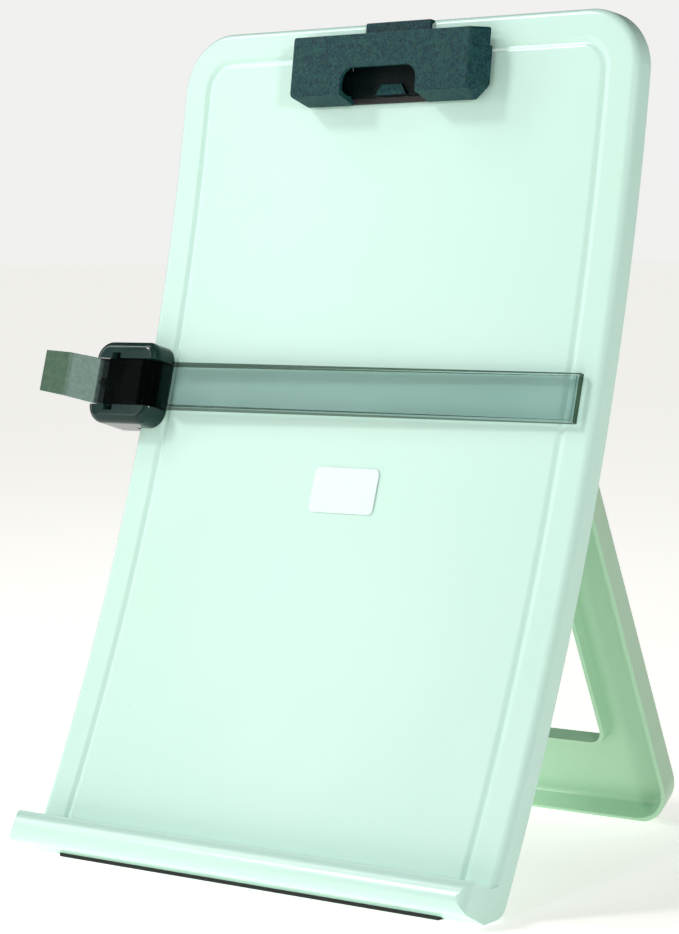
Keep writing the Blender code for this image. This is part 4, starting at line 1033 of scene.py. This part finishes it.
def make_label():
    outline = rounded_rectangle(-LABEL_WIDTH / 2, LABEL_WIDTH / 2, -LABEL_HEIGHT / 2,
                                LABEL_HEIGHT / 2, 2.5 * MM, 2.5 * MM)
    label = prism("blank_sticker", outline, "Y", -2 * GAP, -GAP)
    return finish(label, "board_frame", STICKER, "label",
                  placing=board_frame(LABEL_X, LABEL_S, 0))


def make_ledge_strip():
    strip = slab("grip_strip", band(0, STRIP_LENGTH / 2), band(0, STRIP_WIDTH / 2),
                 (0, STRIP_THICKNESS))
    bevel(strip, 0.25 * MM, 2)
    return finish(strip, "board_frame", RUBBER, "ledge_strip")


def make_clip_pad(frame_matrix):
    pad = slab("jaw_pad", band(0, 43.5 * MM), (0.35 * MM, 2.35 * MM), (-15.2 * MM, -12.8 * MM))
    bevel(pad, 0.5 * MM, 3)
    return finish(pad, "jaw", RUBBER, "clip_pad", placing=frame_matrix)


STEEL_NODES = ("leg_rod", "leg_screw", "clip_pin", "clip_screw", "clip_spring", "guide_spring",
               "slider_brake_spring", "slider_screw")


def dress_cad_nodes():
    """Steel pieces keep their CAD shape and get a steel material."""
    for name, obj in frame["nodes"].items():
        if name.startswith(STEEL_NODES):
            obj.data.materials.clear()
            obj.data.materials.append(STEEL)
            weld = obj.modifiers.new("weld", "WELD")
            weld.merge_threshold = 0.002 * MM
            obj.data.shade_smooth()
            smooth = obj.modifiers.new("edge_split", "EDGE_SPLIT")
            smooth.split_angle = math.radians(35)


# ---------------------------------------------------------------- studio

CAMERA_PLACE = Vector((0.7703, -0.8718, 0.2540))
CAMERA_AZIMUTH = math.radians(39.40)
CAMERA_PITCH = math.radians(4.32)
CAMERA_ROLL = math.radians(-0.72)
CAMERA_LENS = 114.06
SENSOR = 36
SHIFT_X = -0.00509
SHIFT_Y = 0.00097
LIT_POINT = Vector((0, 0.08, 0.18))
FLOOR_HALF_SIZE = 30


def make_camera():
    """A long lens from the front right, a little above the object and looking slightly down."""
    data = bpy.data.cameras.new("camera")
    camera = bpy.data.objects.new("camera", data)
    bpy.context.scene.collection.objects.link(camera)
    right = Vector((math.cos(CAMERA_AZIMUTH), math.sin(CAMERA_AZIMUTH), 0))
    forward = Vector((-math.sin(CAMERA_AZIMUTH) * math.cos(CAMERA_PITCH),
                      math.cos(CAMERA_AZIMUTH) * math.cos(CAMERA_PITCH),
                      -math.sin(CAMERA_PITCH)))
    up = right.cross(forward)
    rolled_right = right * math.cos(CAMERA_ROLL) + up * math.sin(CAMERA_ROLL)
    rolled_up = up * math.cos(CAMERA_ROLL) - right * math.sin(CAMERA_ROLL)
    turn = Matrix((rolled_right, rolled_up, -forward)).transposed()
    camera.matrix_world = Matrix.Translation(CAMERA_PLACE) @ turn.to_4x4()
    data.sensor_fit = "AUTO"
    data.sensor_width = SENSOR
    data.lens = CAMERA_LENS
    data.shift_x = SHIFT_X
    data.shift_y = SHIFT_Y
    data.clip_start = 0.05
    data.clip_end = 100
    bpy.context.scene.camera = camera


def lamp(name, kind, azimuth, elevation, distance=0):
    """A light aimed at the object; the azimuth is 0 in front of it and grows to its right."""
    turn = math.radians(azimuth)
    rise = math.radians(elevation)
    toward = Vector((math.sin(turn) * math.cos(rise), -math.cos(turn) * math.cos(rise),
                     math.sin(rise)))
    data = bpy.data.lights.new(name, kind)
    obj = bpy.data.objects.new(name, data)
    obj.location = LIT_POINT + toward * distance
    obj.rotation_mode = "QUATERNION"
    obj.rotation_quaternion = toward.to_track_quat("Z", "Y")
    bpy.context.scene.collection.objects.link(obj)
    return data


def sun(name, azimuth, elevation, strength, spread):
    data = lamp(name, "SUN", azimuth, elevation)
    data.energy = strength
    data.angle = math.radians(spread)


def softbox(name, azimuth, elevation, distance, width, height, power):
    data = lamp(name, "AREA", azimuth, elevation, distance)
    data.shape = "RECTANGLE"
    data.size = width
    data.size_y = height
    data.energy = power


def make_lights():
    """A soft key, a low side light, and strips for the bright lines on the groove and rim."""
    sun("key", azimuth=-48, elevation=42, strength=0.92, spread=10)
    sun("side", azimuth=56, elevation=8, strength=0.84, spread=7)
    for name, azimuth, elevation, distance, width, height, power in (
            ("strip_left", -44, 16, 1.6, 0.22, 0.9, 2.2),
            ("strip_groove", -72, 34, 1.5, 0.22, 1.7, 8.6),
            ("strip_rim", 14, 34, 1.5, 0.06, 1.5, 2.4)):
        softbox(name, azimuth, elevation, distance, width, height, power)


def make_world():
    """Dim even light, and a bright plain backdrop that only the camera sees."""
    world = bpy.data.worlds.new("studio")
    bpy.context.scene.world = world
    world.use_nodes = True
    tree = world.node_tree
    plain = tree.nodes["Background"]
    plain.inputs["Color"].default_value = (0.95, 1.0, 0.98, 1)
    plain.inputs["Strength"].default_value = 0.05
    seen = tree.nodes.new("ShaderNodeBackground")
    seen.inputs["Color"].default_value = (1, 0.995, 0.98, 1)
    seen.inputs["Strength"].default_value = 0.88
    path = tree.nodes.new("ShaderNodeLightPath")
    mix = tree.nodes.new("ShaderNodeMixShader")
    tree.links.new(path.outputs["Is Camera Ray"], mix.inputs["Fac"])
    tree.links.new(plain.outputs["Background"], mix.inputs[1])
    tree.links.new(seen.outputs["Background"], mix.inputs[2])
    tree.links.new(mix.outputs["Shader"], tree.nodes["World Output"].inputs["Surface"])


def make_floor():
    bm = bmesh.new()
    bmesh.ops.create_grid(bm, x_segments=1, y_segments=1, size=FLOOR_HALF_SIZE)
    floor = object_from_bmesh("floor", bm, bpy.context.scene.collection)
    nodes = Nodes("pale_floor")
    nodes.set(Base_Color=(0.84, 0.83, 0.80, 1), Roughness=0.9, Specular_IOR_Level=0.1,
              Emission_Color=(1, 0.99, 0.95, 1), Emission_Strength=0.64)
    floor.data.materials.append(nodes.material)


def main():
    clip_frame = board_frame(0, CLIP_S, 0)
    slider_frame = board_frame(0, SLIDER_S, 0)
    make_board()
    make_label()
    make_ledge_strip()
    make_leg()
    make_leg_cap("left", -1)
    make_leg_cap("right", 1)
    make_clip_base(clip_frame)
    make_clip_jaw(clip_frame)
    make_clip_pad(clip_frame)
    make_slider_body(slider_frame)
    make_slider_back_plate(slider_frame)
    make_guide(slider_frame)
    dress_cad_nodes()
    for obj in list(CUTTERS.objects):
        bpy.data.objects.remove(obj)
    bpy.data.collections.remove(CUTTERS)

    bpy.context.scene.view_settings.view_transform = "Standard"
    make_camera()
    make_world()
    make_floor()
    make_lights()


main()
